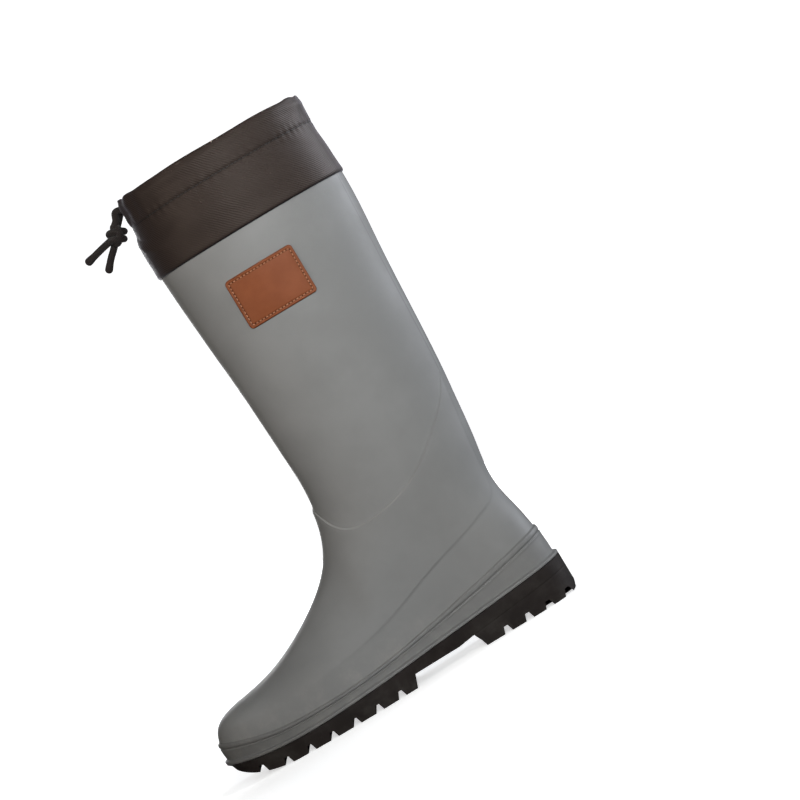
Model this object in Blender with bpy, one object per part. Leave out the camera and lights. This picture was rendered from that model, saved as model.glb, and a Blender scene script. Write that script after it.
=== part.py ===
"""A left rubber boot standing empty on its sole.

The grey upper is one hollow moulding: foot, shaft and rand, open at the top and underneath.
A black lugged outsole closes it from below, an insole lies inside, a fabric gaiter overlaps the
top of the shaft, a leather patch sits on the outer side and a drawcord is knotted at the front.

Tables and sizes are in millimetres. x runs from the back of the heel to the toe, y from the
middle of the heel to the outer side of the left foot, and z up from the floor.
"""

import bmesh
import bpy
import math
import numpy as np
from collections import namedtuple
from mathutils import Vector

MM = 0.001

# Driving sizes
GAP = 0.3
WALL = 2.4
INSOLE_THICKNESS = 4.0
INSOLE_CLEARANCE = 0.9
RING_COLUMNS = 48
TOE_SWING = 6.0
TOE_SWING_START = 150.0
TOE_TIP_X = 289.0

# Rand: the raised foot edge moulded round the upper, with a lip below and a bead on top
LIP_OUT = 3.2
LIP_HEIGHT = 2.4
RAND_EASE = 0.8
RUBBER_EDGE_Z = 358.0

# Outsole tread
LUG_DEPTH = 5.2
GROOVE_TOP = 3.0
GROOVE_FOOT = 6.4
CHANNEL_DRAFT = 1.0
TOE_SPRING_START = 235.0
TOE_SPRING_RISE = 15.0
HEEL_BEVEL_START = 16.0
HEEL_BEVEL_RISE = 1.6
HEEL_BREAST = 81.5
HEEL_BREAST_TOP = 84.5
ARCH_END = 135.0
FOREFOOT_START = 137.0
ARCH_HEIGHT = 9.4
HEEL_GROOVES = (12.0, 27.3, 43.7, 61.6)
FOREFOOT_GROOVE_FIRST = 151.3
FOREFOOT_GROOVE_PITCH = 18.6
FOREFOOT_GROOVE_COUNT = 7
STRIP_EDGES = (0.0, 0.29, 0.34, 0.66, 0.71, 1.0)
TOE_TUCK = 5.0
TOE_TUCK_START = 262.0
LUG_TUCK = 7.0
ARCH_TUCK = 1.5
ARCH_STATIONS = (98.0, 116.0, ARCH_END)
TOE_STATIONS = (271.0, 277.5, 282.0)
END_STEPS = (0.15, 1.4)
BREAST_RISE = 1.8

# Gaiter and patch
GAITER_WALL = 1.5
PATCH_WIDTH = 55.0
PATCH_HEIGHT = 39.0
PATCH_CORNER = 3.0
PATCH_THICKNESS = 1.5
PATCH_CENTRE_X = 80.2
PATCH_CENTRE_Z = 300.7

# Drawcord
CORD_DIAMETER = 4.8
CORD_SPREAD = 2.9
KNOT_SIZE = (15.0, 16.0, 15.0)
KNOT_CLEAR = 7.45
KNOT_REACH = 11.5
KNOT_Z = 391.5
KNOT_WAIST = 0.12
KNOT_WAIST_WIDTH = 0.16
CORD_EXIT_Z = 404.0
CORD_EXIT_SLACK = 1.3
LEAD_POINTS = 6
END_POINTS = 4
END_SPLAY = 2.2

Profile = namedtuple("Profile", "name x z")
FootRow = namedtuple("FootRow", "name x lip_z rand_z outer inner")
LegRow = namedtuple("LegRow", "name z half_width back_round outer_round inner_round")
RidgeRow = namedtuple("RidgeRow", "name x round")
RingRow = namedtuple("RingRow", "name back_z front_z follow")
RandRow = namedtuple("RandRow", "name above_lip share out")
SleeveRow = namedtuple("SleeveRow", "name z slack")
EndRow = namedtuple("EndRow", "name side reach drop")

# Side outline of the upper, from the sole up
FRONT_LINE = (
    Profile("toe_lip", 285.6, 20.0),
    Profile("toe_wall", 286.2, 27.5),
    Profile("toe_nose", 285.4, 35.0),
    Profile("toe_crown", 280.2, 45.6),
    Profile("toe_top", 268.0, 51.8),
    Profile("toe_back", 243.0, 56.6),
    Profile("vamp_front", 221.0, 62.8),
    Profile("vamp", 193.0, 76.2),
    Profile("instep", 170.4, 91.0),
    Profile("instep_top", 149.2, 114.0),
    Profile("throat", 139.4, 141.0),
    Profile("shin", 136.6, 165.0),
    Profile("shin_low", 137.2, 190.0),
    Profile("shin_mid", 139.2, 236.0),
    Profile("shin_high", 142.9, 289.0),
    Profile("shaft_top", 146.3, 346.0),
    Profile("collar_belly", 146.6, 372.0),
    Profile("collar_top", 142.4, 413.0),
)
BACK_LINE = (
    Profile("heel_lip", 4.2, 27.0),
    Profile("heel_wall", 4.9, 40.0),
    Profile("heel_rand", 6.8, 56.0),
    Profile("counter", 10.3, 75.0),
    Profile("counter_top", 13.4, 89.0),
    Profile("ankle", 14.4, 102.0),
    Profile("tendon", 11.2, 128.0),
    Profile("gather", 7.4, 158.0),
    Profile("calf_low", 3.0, 206.0),
    Profile("calf", -2.5, 288.0),
    Profile("shaft_top", -6.1, 347.0),
    Profile("collar_belly", -4.6, 378.0),
    Profile("collar_top", -4.6, 413.0),
)

# Foot sections from heel to toe: lip and rand heights and the two half widths
FOOT = (
    FootRow("heel_back", 0.0, 29.0, 56.0, 33.0, 33.0),
    FootRow("heel_seat", 40.0, 25.3, 47.6, 33.5, 33.0),
    FootRow("breast", 78.0, 21.9, 39.6, 34.5, 32.0),
    FootRow("waist", 112.0, 19.3, 33.2, 37.5, 31.5),
    FootRow("arch_end", 147.0, 16.6, 27.8, 42.5, 35.0),
    FootRow("joint", 180.0, 14.7, 25.1, 46.5, 41.5),
    FootRow("ball", 210.0, 13.2, 24.4, 47.0, 46.0),
    FootRow("toe_root", 240.0, 13.4, 25.8, 46.0, 46.5),
    FootRow("toe_cap", 265.0, 15.6, 30.4, 45.0, 46.0),
    FootRow("toe_tip", 289.0, 20.0, 36.5, 45.0, 45.0),
)

# Leg sections from the sole up: half width and how far the roundings reach in from each edge
LEG = (
    LegRow("seat", 13.0, 33.0, 34.0, 92.0, 64.0),
    LegRow("rand", 56.0, 34.0, 36.0, 84.0, 62.0),
    LegRow("heel", 80.0, 35.5, 41.0, 76.0, 62.0),
    LegRow("ankle", 104.0, 38.0, 47.0, 70.0, 62.0),
    LegRow("throat", 145.0, 41.5, 59.5, 65.0, 63.0),
    LegRow("gather", 180.0, 44.0, 66.0, 65.5, 65.5),
    LegRow("low_shaft", 220.0, 48.0, 69.0, 68.0, 68.0),
    LegRow("calf", 290.0, 54.5, 72.7, 72.7, 72.7),
    LegRow("shaft_top", 347.0, 58.0, 76.2, 76.2, 76.2),
    LegRow("collar_belly", 376.0, 58.2, 76.4, 76.4, 76.4),
    LegRow("collar_top", 413.0, 56.5, 73.6, 73.6, 73.6),
)

# How far down the sides the rounded top of the foot reaches
RIDGE = (
    RidgeRow("waist", 90.0, 115.0),
    RidgeRow("throat", 140.0, 82.0),
    RidgeRow("instep", 175.0, 56.0),
    RidgeRow("vamp", 205.0, 41.0),
    RidgeRow("toe_back", 235.0, 33.0),
    RidgeRow("toe_top", 265.0, 27.0),
    RidgeRow("toe_nose", 289.0, 23.0),
)

# Rings of the mesh above the rand: heights at back and front, and how much they dip with the rand
RINGS = (
    RingRow("above_rand", 59.6, 41.2, 0.92),
    RingRow("toe_wall", 62.6, 45.3, 0.82),
    RingRow("toe_crown", 66.0, 48.9, 0.70),
    RingRow("toe_top", 70.0, 52.1, 0.58),
    RingRow("toe_back", 74.5, 55.5, 0.46),
    RingRow("vamp_front", 79.5, 60.0, 0.35),
    RingRow("vamp", 85.5, 67.0, 0.25),
    RingRow("vamp_top", 92.5, 77.5, 0.16),
    RingRow("instep", 100.5, 91.0, 0.08),
    RingRow("instep_mid", 110.0, 106.5, 0.03),
    RingRow("instep_top", 121.0, 123.5, 0.0),
    RingRow("throat", 136.0, 141.0, 0.0),
    RingRow("ankle_top", 156.0, 161.0, 0.0),
    RingRow("gather", 184.0, 186.0, 0.0),
    RingRow("low_shaft", 218.0, 219.0, 0.0),
    RingRow("mid_shaft", 260.0, 260.0, 0.0),
    RingRow("calf", 304.0, 304.0, 0.0),
    RingRow("shaft_top", 346.5, 346.5, 0.0),
    RingRow("rubber_edge", RUBBER_EDGE_Z, RUBBER_EDGE_Z, 0.0),
    RingRow("collar_belly", 384.0, 384.0, 0.0),
    RingRow("collar_top", 412.0, 412.0, 0.0),
)

# Section through the rand: height above the lip, share of the rand's height, and stand-off
RAND = (
    RandRow("lip_foot", 0.0, 0.0, LIP_OUT),
    RandRow("lip_top", LIP_HEIGHT, 0.0, LIP_OUT),
    RandRow("band_foot", LIP_HEIGHT + 1.2, 0.0, 1.0),
    RandRow("band_top", -4.6, 1.0, 1.0),
    RandRow("bead_foot", -3.7, 1.0, 1.9),
    RandRow("bead_top", -0.7, 1.0, 1.7),
    RandRow("bead_end", RAND_EASE, 1.0, 0.0),
)

# Gaiter: height and how far the cloth stands off the leg form
GAITER = (
    SleeveRow("hem", 347.0, 0.35),
    SleeveRow("overlap", 358.5, 0.4),
    SleeveRow("belly", 371.0, 0.6),
    SleeveRow("pinch", 388.5, 0.2),
    SleeveRow("channel", 400.0, 0.9),
    SleeveRow("mouth", 411.5, 0.3),
)

# Cord ends: side of the knot, how far each reaches forward and how far it hangs below the knot
CORD_ENDS = (
    EndRow("outer", 1.0, 27.0, -6.5),
    EndRow("inner", -1.0, 18.0, -18.5),
)


def spline(at, values):
    """Natural cubic curve through the values; straight on past both ends."""
    at = np.asarray(at, dtype=float)
    values = np.asarray(values, dtype=float)
    count = len(at)
    step = np.diff(at)
    rise = np.diff(values) / step
    system = np.eye(count)
    right = np.zeros(count)
    for i in range(1, count - 1):
        system[i, i - 1] = step[i - 1]
        system[i, i] = 2.0 * (step[i - 1] + step[i])
        system[i, i + 1] = step[i]
        right[i] = 6.0 * (rise[i] - rise[i - 1])
    bend = np.linalg.solve(system, right)
    start_slope = rise[0] - step[0] * bend[1] / 6.0
    end_slope = rise[-1] + step[-1] * bend[-2] / 6.0

    def curve(x):
        x = np.asarray(x, dtype=float)
        inside = np.clip(x, at[0], at[-1])
        i = np.clip(np.searchsorted(at, inside) - 1, 0, count - 2)
        left = (at[i + 1] - inside) / step[i]
        over = 1.0 - left
        bow = ((left ** 3 - left) * bend[i] + (over ** 3 - over) * bend[i + 1]) * step[i] ** 2 / 6.0
        return (left * values[i] + over * values[i + 1] + bow
                + np.minimum(x - at[0], 0.0) * start_slope
                + np.maximum(x - at[-1], 0.0) * end_slope)

    return curve


def column(rows, key, value):
    """One column of a table as a smooth curve over another."""
    return spline([getattr(row, key) for row in rows], [getattr(row, value) for row in rows])


def smoothstep(low, high, value):
    share = np.clip((value - low) / (high - low), 0.0, 1.0)
    return share * share * (3.0 - 2.0 * share)


def outline(rows, samples=3000):
    """Many points along the smooth curve through the rows of a side outline."""
    corners = np.array([(row.x, row.z) for row in rows])
    along = np.concatenate(([0.0], np.cumsum(np.linalg.norm(np.diff(corners, axis=0), axis=1))))
    fine = np.linspace(0.0, along[-1], samples)
    return spline(along, corners[:, 0])(fine), spline(along, corners[:, 1])(fine)


front_xs, front_zs = outline(FRONT_LINE)
back_xs, back_zs = outline(BACK_LINE)
TOE_NOSE = int(np.argmax(front_xs))
INSTEP_Z = 112.0
INSTEP = int(np.searchsorted(front_zs, INSTEP_Z))
INSTEP_SLOPE = (front_zs[INSTEP] - front_zs[INSTEP - 1]) / (front_xs[INSTEP - 1] - front_xs[INSTEP])
RIDGE_BEND = 0.06
RIDGE_CLIMB = 0.009
RIDGE_FADE = (105.0, 160.0)
LEG_FADE = (45.0, 140.0)
FOOT_SQUARENESS = 2.35
LEG_SQUARENESS = 2.05

lip_height = column(FOOT, "x", "lip_z")
rand_height = column(FOOT, "x", "rand_z")
foot_outer = column(FOOT, "x", "outer")
foot_inner = column(FOOT, "x", "inner")
leg_width = column(LEG, "z", "half_width")
back_round = column(LEG, "z", "back_round")
outer_round = column(LEG, "z", "outer_round")
inner_round = column(LEG, "z", "inner_round")
ridge_round = column(RIDGE, "x", "round")


def front_x(z):
    return np.interp(z, front_zs, front_xs)


def back_x(z):
    return np.interp(z, back_zs, back_xs)


def ridge_z(x):
    """Height of the foot's top line, carried on behind the instep as a climbing curve."""
    toe_to_instep = slice(TOE_NOSE, INSTEP + 1)
    top = np.interp(x, front_xs[toe_to_instep][::-1], front_zs[toe_to_instep][::-1])
    behind = np.maximum(front_xs[INSTEP] - x, 0.0)
    return top + INSTEP_SLOPE * behind + RIDGE_BEND * behind ** 2 + RIDGE_CLIMB * behind ** 3


def middle_y(x):
    """The foot's middle line swings to the inner side at the toe."""
    return -TOE_SWING * smoothstep(TOE_SWING_START, TOE_TIP_X, x)


def rounding(reach, squareness):
    reach = np.clip(reach, 0.0, 1.0)
    return (1.0 - (1.0 - reach) ** squareness) ** (1.0 / squareness)


def half_width(x, z, outer):
    """Half width of the upper at a point of the side view, on the outer or the inner side."""
    leg_share = smoothstep(*LEG_FADE, z)
    plan = np.where(outer, foot_outer(x), foot_inner(x))
    body = plan + (leg_width(z) - plan) * leg_share
    squareness = FOOT_SQUARENESS + (LEG_SQUARENESS - FOOT_SQUARENESS) * leg_share
    nose = np.where(outer, outer_round(z), inner_round(z))
    ahead = np.maximum(front_x(z) - x, 1e-6) / nose
    above = np.maximum(ridge_z(x) - z, 1e-6) / ridge_round(x)
    above_share = 1.0 - smoothstep(*RIDGE_FADE, z)
    front_reach = 1.0 / np.sqrt(1.0 / ahead ** 2 + above_share / above ** 2)
    back_reach = np.maximum(x - back_x(z), 0.0) / back_round(z)
    return body * rounding(front_reach, squareness) * rounding(back_reach, squareness)


def rand_line(level, x):
    """Height of the lip at level 0 and of the rand's top edge at level 1."""
    return lip_height(x) + level * (rand_height(x) + RAND_EASE - lip_height(x))


def ring_tables():
    """Ends of every ring: x and z at the back and front, for levels from 0 at the lip."""
    rand_back = rand_line(1.0, back_x(rand_height(0.0)))
    rand_front = rand_line(1.0, front_x(rand_height(TOE_TIP_X)))
    levels = np.arange(1, len(RINGS) + 2)
    back = spline(levels, [rand_back] + [row.back_z for row in RINGS])
    front = spline(levels, [rand_front] + [row.front_z for row in RINGS])
    follow = spline(levels, [1.0] + [row.follow for row in RINGS])
    fine = np.linspace(0.0, levels[-1], 2201)
    above = np.maximum(fine, 1.0)
    in_rand = fine < 1.0
    z_back = np.where(in_rand, rand_line(fine, back_x(lip_height(0.0))), back(above))
    z_front = np.where(in_rand, rand_line(fine, front_x(lip_height(TOE_TIP_X))), front(above))
    return fine, back_x(z_back), z_back, front_x(z_front), z_front, np.clip(follow(above), 0.0, 1.0)


LEVELS, RING_BACK_X, RING_BACK_Z, RING_FRONT_X, RING_FRONT_Z, RING_FOLLOW = ring_tables()
TOP_LEVEL = LEVELS[-1]


def base_points(level, turn):
    """Points of the upper's form: level counts the rings from the lip, turn goes round from the back."""
    level, turn = np.broadcast_arrays(np.asarray(level, dtype=float), np.asarray(turn, dtype=float))
    x_back = np.interp(level, LEVELS, RING_BACK_X)
    x_front = np.interp(level, LEVELS, RING_FRONT_X)
    z_back = np.interp(level, LEVELS, RING_BACK_Z)
    z_front = np.interp(level, LEVELS, RING_FRONT_Z)
    along = (1.0 - np.cos(turn)) / 2.0
    x = x_back + along * (x_front - x_back)
    rand_top = rand_line(1.0, x)
    rand_chord = (1.0 - along) * rand_line(1.0, x_back) + along * rand_line(1.0, x_front)
    dip = np.interp(level, LEVELS, RING_FOLLOW) * (rand_top - rand_chord)
    z = np.where(level < 1.0, rand_line(level, x), z_back + along * (z_front - z_back) + dip)
    outer = np.sin(turn) >= 0.0
    side = np.where(outer, 1.0, -1.0) * (np.abs(np.sin(turn)) > 1e-9)
    return np.stack((x, middle_y(x) + side * half_width(x, z, outer), z), axis=-1)


def form_points(level, turn, out):
    """The upper's form moved out along its own normals, which lie level in the rand."""
    level, turn = np.broadcast_arrays(np.asarray(level, dtype=float), np.asarray(turn, dtype=float))
    small_level, small_turn = 0.04, 0.02
    low = np.clip(level - small_level, 0.0, TOP_LEVEL)
    high = np.clip(level + small_level, 0.0, TOP_LEVEL)
    up = base_points(high, turn) - base_points(low, turn)
    around = base_points(level, turn + small_turn) - base_points(level, turn - small_turn)
    normal = np.cross(up, around)
    normal /= np.linalg.norm(normal, axis=-1, keepdims=True)
    normal[..., 2] *= smoothstep(1.0, 2.0, level)
    normal /= np.linalg.norm(normal, axis=-1, keepdims=True)
    return base_points(level, turn) + normal * np.asarray(out, dtype=float)[..., None]


def side_points(x, z, out):
    """Points on the outer side of the leg at given places of the side view, moved out."""
    step = 0.5
    width = half_width(x, z, True)
    slope_x = (half_width(x + step, z, True) - half_width(x - step, z, True)) / (2.0 * step)
    slope_z = (half_width(x, z + step, True) - half_width(x, z - step, True)) / (2.0 * step)
    normal = np.stack((-slope_x, np.ones_like(slope_x), -slope_z), axis=-1)
    normal /= np.linalg.norm(normal, axis=-1, keepdims=True)
    return np.stack((x, middle_y(x) + width, z), axis=-1) + normal * out


def ring_turns(columns=RING_COLUMNS):
    return np.arange(columns) * 2.0 * math.pi / columns


def level_at(z):
    return np.interp(z, RING_BACK_Z, LEVELS)


def rand_ring(row, turns):
    """One ring of the rand's section, at its own height and stand-off."""
    guide_x = base_points(0.5, turns)[:, 0]
    full = rand_height(guide_x) + RAND_EASE - lip_height(guide_x)
    level = np.clip((row.above_lip + row.share * (full - RAND_EASE)) / full, 0.0, 1.0)
    return form_points(level, turns, np.full(len(turns), row.out))


def make_material(name, colour, roughness):
    material = bpy.data.materials.new(name)
    material.use_nodes = True
    shader = material.node_tree.nodes["Principled BSDF"]
    shader.inputs["Base Color"].default_value = (*colour, 1.0)
    shader.inputs["Roughness"].default_value = roughness
    shader.inputs["Metallic"].default_value = 0.0
    return material


def make_object(name, points, faces, material, smooth=True):
    """A closed mesh from points in millimetres, with repeated points joined and faces turned out."""
    mesh = bpy.data.meshes.new(name)
    mesh.from_pydata((np.asarray(points) * MM).tolist(), [], faces)
    work = bmesh.new()
    work.from_mesh(mesh)
    bmesh.ops.remove_doubles(work, verts=work.verts, dist=0.005 * MM)
    bmesh.ops.recalc_face_normals(work, faces=work.faces)
    if work.calc_volume(signed=True) < 0.0:
        bmesh.ops.reverse_faces(work, faces=work.faces)
    for face in work.faces:
        face.smooth = smooth
    work.to_mesh(mesh)
    work.free()
    mesh.materials.append(material)
    made = bpy.data.objects.new(name, mesh)
    bpy.context.collection.objects.link(made)
    return made


def ring_faces(first, second, columns):
    """Quads between two rings, given the number of each ring's first point."""
    quads = []
    for i in range(columns):
        following = (i + 1) % columns
        quads.append((first + i, first + following, second + following, second + i))
    return quads


def closed_sleeve(outer_rings, inner_rings):
    """A wall from its outer rings, bottom to top, and its inner rings, top to bottom."""
    rings = list(outer_rings) + list(inner_rings)
    columns = len(rings[0])
    faces = []
    for i in range(len(rings)):
        faces += ring_faces(i * columns, ((i + 1) % len(rings)) * columns, columns)
    return np.concatenate(rings), faces


def make_upper(material):
    turns = ring_turns()
    rubber_rings = [i + 2 for i, row in enumerate(RINGS) if row.back_z <= RUBBER_EDGE_Z]
    outer = [rand_ring(row, turns) for row in RAND]
    outer += [form_points(level, turns, np.zeros(len(turns))) for level in rubber_rings]
    inside = np.full(len(turns), -WALL)
    inner = [form_points(level, turns, inside) for level in rubber_rings[::-1]]
    inner += [form_points(1.0, turns, inside), form_points(0.0, turns, inside)]
    points, faces = closed_sleeve(outer, inner)
    return make_object("upper", points, faces, material)


def floor_clearance(x):
    """How far the tread lifts off the floor: toe spring in front, a bevel at the back of the heel."""
    toe = np.maximum(x - TOE_SPRING_START, 0.0) / (TOE_TIP_X - TOE_SPRING_START)
    heel = np.maximum(HEEL_BEVEL_START - x, 0.0) / HEEL_BEVEL_START
    return TOE_SPRING_RISE * toe ** 2 + HEEL_BEVEL_RISE * heel ** 2


Station = namedtuple("Station", "x z lug_ahead")


def tread_stations():
    """Places along the sole where its underside changes, from the heel to the toe."""
    half = GROOVE_TOP / 2.0
    forefoot = [FOREFOOT_GROOVE_FIRST + i * FOREFOOT_GROOVE_PITCH for i in range(FOREFOOT_GROOVE_COUNT)]
    heel_end = RING_BACK_X[0]
    toe_end = RING_FRONT_X[0]
    stations = [Station(heel_end + step, None, True) for step in END_STEPS]
    for groove in HEEL_GROOVES + tuple(forefoot):
        stations.append(Station(groove - half, None, False))
        stations.append(Station(groove + half, None, True))
    stations.append(Station(HEEL_BEVEL_START, None, True))
    stations.append(Station(HEEL_BREAST, None, False))
    stations.append(Station(HEEL_BREAST_TOP, ARCH_HEIGHT + BREAST_RISE, False))
    stations += [Station(x, ARCH_HEIGHT, False) for x in ARCH_STATIONS]
    stations.append(Station(FOREFOOT_START, None, True))
    stations += [Station(x, None, True) for x in TOE_STATIONS]
    stations.append(Station(toe_end - END_STEPS[1], None, True))
    stations.append(Station(toe_end - END_STEPS[0], None, False))
    return sorted(stations, key=lambda station: station.x)


def sole_edge(x, outer, out):
    """A point of the sole's outline beside x, moved out level from the foot's form."""
    along = np.clip((x - RING_BACK_X[0]) / (RING_FRONT_X[0] - RING_BACK_X[0]), 0.0, 1.0)
    turn = math.acos(1.0 - 2.0 * along)
    if not outer:
        turn = 2.0 * math.pi - turn
    return form_points(np.array([0.0]), np.array([turn]), np.array([out]))[0]


def sole_row(x, z, out):
    """Points across the underside at one station, from the outer edge to the inner edge."""
    outer_edge = sole_edge(x, True, out)
    inner_edge = sole_edge(x, False, out)
    row = [outer_edge + (inner_edge - outer_edge) * share for share in STRIP_EDGES]
    for point in row:
        point[2] = z
    return row


def make_outsole(material):
    stations = tread_stations()
    strips = len(STRIP_EDGES) - 1
    middle_strip = strips // 2
    closed_grooves = HEEL_GROOVES[:2]
    points, faces, top, under = [], [], [], []

    def add(point):
        points.append(np.array(point))
        return len(points) - 1

    def under_height(station):
        if station.z is not None:
            return station.z
        return floor_clearance(station.x) + LUG_DEPTH

    for station in stations:
        edge_x = station.x
        tuck = TOE_TUCK * smoothstep(TOE_TUCK_START, TOE_TIP_X, edge_x)
        if station.z is not None:
            tuck += ARCH_TUCK
        top.append([add(p) for p in sole_row(edge_x, float(lip_height(edge_x)) - GAP, LIP_OUT)])
        under.append([add(p) for p in sole_row(edge_x, under_height(station), LIP_OUT - tuck)])

    def is_lug(cell, strip):
        if not 0 <= cell < len(stations) - 1 or not 0 <= strip < strips:
            return False
        if strip % 2 == 0 and stations[cell].lug_ahead:
            return True
        x_mid = (stations[cell].x + stations[cell + 1].x) / 2.0
        in_closed = any(abs(x_mid - groove) < GROOVE_TOP / 2.0 for groove in closed_grooves)
        return strip == middle_strip and in_closed

    def lug_foot(cell, strip, at_front, at_inner):
        """Foot of one corner of a lug: drawn in where it faces a groove or a channel."""
        station = stations[cell + at_front]
        beyond = cell + 1 if at_front else cell - 1
        edge = strip + at_inner
        draft = (GROOVE_FOOT - GROOVE_TOP) / 2.0
        ends = (-1, len(stations) - 1)
        facing_groove = beyond not in ends and not is_lug(beyond, strip)
        shift = (-draft if at_front else draft) if facing_groove else 0.0
        x = station.x + shift
        tuck = LUG_TUCK * smoothstep(TOE_TUCK_START, TOE_TIP_X, x)
        point = sole_row(x, floor_clearance(x), LIP_OUT - tuck)[edge]
        if edge not in (0, strips):
            point[1] += CHANNEL_DRAFT if at_inner else -CHANNEL_DRAFT
        return point

    for cell in range(len(stations) - 1):
        for strip in range(strips):
            corners = [under[cell][strip], under[cell + 1][strip],
                       under[cell + 1][strip + 1], under[cell][strip + 1]]
            faces.append((top[cell][strip], top[cell + 1][strip],
                          top[cell + 1][strip + 1], top[cell][strip + 1]))
            if not is_lug(cell, strip):
                faces.append(tuple(corners))
                continue
            feet = [add(lug_foot(cell, strip, *corner)) for corner in ((0, 0), (1, 0), (1, 1), (0, 1))]
            faces.append(tuple(feet))
            neighbours = ((cell, strip - 1), (cell + 1, strip), (cell, strip + 1), (cell - 1, strip))
            for i, neighbour in enumerate(neighbours):
                if not is_lug(*neighbour):
                    following = (i + 1) % 4
                    faces.append((corners[i], corners[following], feet[following], feet[i]))
        for edge in (0, strips):
            faces.append((top[cell][edge], top[cell + 1][edge], under[cell + 1][edge], under[cell][edge]))
    for end in (0, len(stations) - 1):
        for strip in range(strips):
            faces.append((top[end][strip], top[end][strip + 1], under[end][strip + 1], under[end][strip]))
    return make_object("outsole", points, faces, material, smooth=False)


def make_insole(material):
    turns = ring_turns()
    inset = np.full(len(turns), -(WALL + INSOLE_CLEARANCE))
    foot = form_points(0.0, turns, inset)
    foot[:, 2] = lip_height(foot[:, 0]) + GAP
    crown = foot.copy()
    crown[:, 2] += INSOLE_THICKNESS
    count = len(turns)
    faces = ring_faces(0, count, count)
    half = count // 2
    for i in range(half):
        pair = (i, i + 1, (count - i - 1) % count, (count - i) % count)
        faces.append(pair)
        faces.append(tuple(count + j for j in pair))
    faces = [tuple(dict.fromkeys(face)) for face in faces]
    return make_object("insole", np.concatenate((foot, crown)), faces, material)


def make_gaiter(material):
    turns = ring_turns()
    outer, inner = [], []
    for row in GAITER:
        level = float(level_at(row.z))
        inner.append(form_points(level, turns, np.full(len(turns), row.slack)))
        outer.append(form_points(level, turns, np.full(len(turns), row.slack + GAITER_WALL)))
    points, faces = closed_sleeve(outer, inner[::-1])
    return make_object("gaiter", points, faces, material)


def make_patch(material):
    """A plate between two larger forms of the shaft, with round corners."""
    half_x = PATCH_WIDTH / 2.0
    half_z = PATCH_HEIGHT / 2.0
    corner_turns = np.radians((0.0, 30.0, 60.0, 90.0))
    low = -half_z + PATCH_CORNER * (1.0 - np.cos(corner_turns))
    straight = np.linspace(-half_z + PATCH_CORNER, half_z - PATCH_CORNER, 4)[1:-1]
    heights = np.concatenate((low, straight, -low[::-1]))
    widths = []
    for z in heights:
        over = max(abs(z) - (half_z - PATCH_CORNER), 0.0)
        widths.append(half_x - PATCH_CORNER + math.sqrt(max(PATCH_CORNER ** 2 - over ** 2, 0.0)))
    shares = np.linspace(-1.0, 1.0, 9)
    x = PATCH_CENTRE_X + np.outer(widths, shares)
    z = PATCH_CENTRE_Z + np.repeat(heights[:, None], len(shares), axis=1)
    rows, columns = x.shape
    back = side_points(x, z, GAP).reshape(-1, 3)
    face = side_points(x, z, GAP + PATCH_THICKNESS).reshape(-1, 3)
    count = rows * columns
    faces = []
    for i in range(rows - 1):
        for j in range(columns - 1):
            quad = (i * columns + j, i * columns + j + 1, (i + 1) * columns + j + 1, (i + 1) * columns + j)
            faces.append(quad)
            faces.append(tuple(count + k for k in quad))
    rim = [j for j in range(columns)]
    rim += [i * columns + columns - 1 for i in range(1, rows)]
    rim += [(rows - 1) * columns + j for j in range(columns - 2, -1, -1)]
    rim += [i * columns for i in range(rows - 2, 0, -1)]
    for here, there in zip(rim, rim[1:] + rim[:1]):
        faces.append((here, there, count + there, count + here))
    return make_object("patch", np.concatenate((back, face)), faces, material)


def cord_route(corners, points):
    """Evenly spaced points on the smooth curve through a cord's own corners."""
    corners = np.array(corners, dtype=float)
    along = np.concatenate(([0.0], np.cumsum(np.linalg.norm(np.diff(corners, axis=0), axis=1))))
    fine = np.linspace(0.0, along[-1], points)
    return np.stack([spline(along, corners[:, axis])(fine) for axis in range(3)], axis=-1)


def make_cord(name, corners, points, material):
    route = cord_route(corners, points)
    curve = bpy.data.curves.new(name, "CURVE")
    curve.dimensions = "3D"
    curve.bevel_depth = CORD_DIAMETER / 2.0 * MM
    curve.bevel_resolution = 2
    curve.use_fill_caps = True
    line = curve.splines.new("POLY")
    line.points.add(len(route) - 1)
    for point, place in zip(line.points, route):
        point.co = (*(Vector(place) * MM), 1.0)
    curve.materials.append(material)
    made = bpy.data.objects.new(name, curve)
    bpy.context.collection.objects.link(made)
    return made


def make_knot(centre, material):
    """A rounded lump with a shallow waist, as a pulled overhand knot is."""
    mesh = bpy.data.meshes.new("drawcord_knot")
    work = bmesh.new()
    bmesh.ops.create_uvsphere(work, u_segments=16, v_segments=10, radius=0.5)
    for vert in work.verts:
        waist = 1.0 - KNOT_WAIST * math.exp(-(vert.co.x / KNOT_WAIST_WIDTH) ** 2)
        vert.co = Vector((vert.co.x * KNOT_SIZE[0],
                          vert.co.y * KNOT_SIZE[1] * waist,
                          vert.co.z * KNOT_SIZE[2] * waist)) * MM
    for face in work.faces:
        face.smooth = True
    work.to_mesh(mesh)
    work.free()
    mesh.materials.append(material)
    made = bpy.data.objects.new("drawcord_knot", mesh)
    made.location = Vector(centre) * MM
    bpy.context.collection.objects.link(made)
    return made


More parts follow.
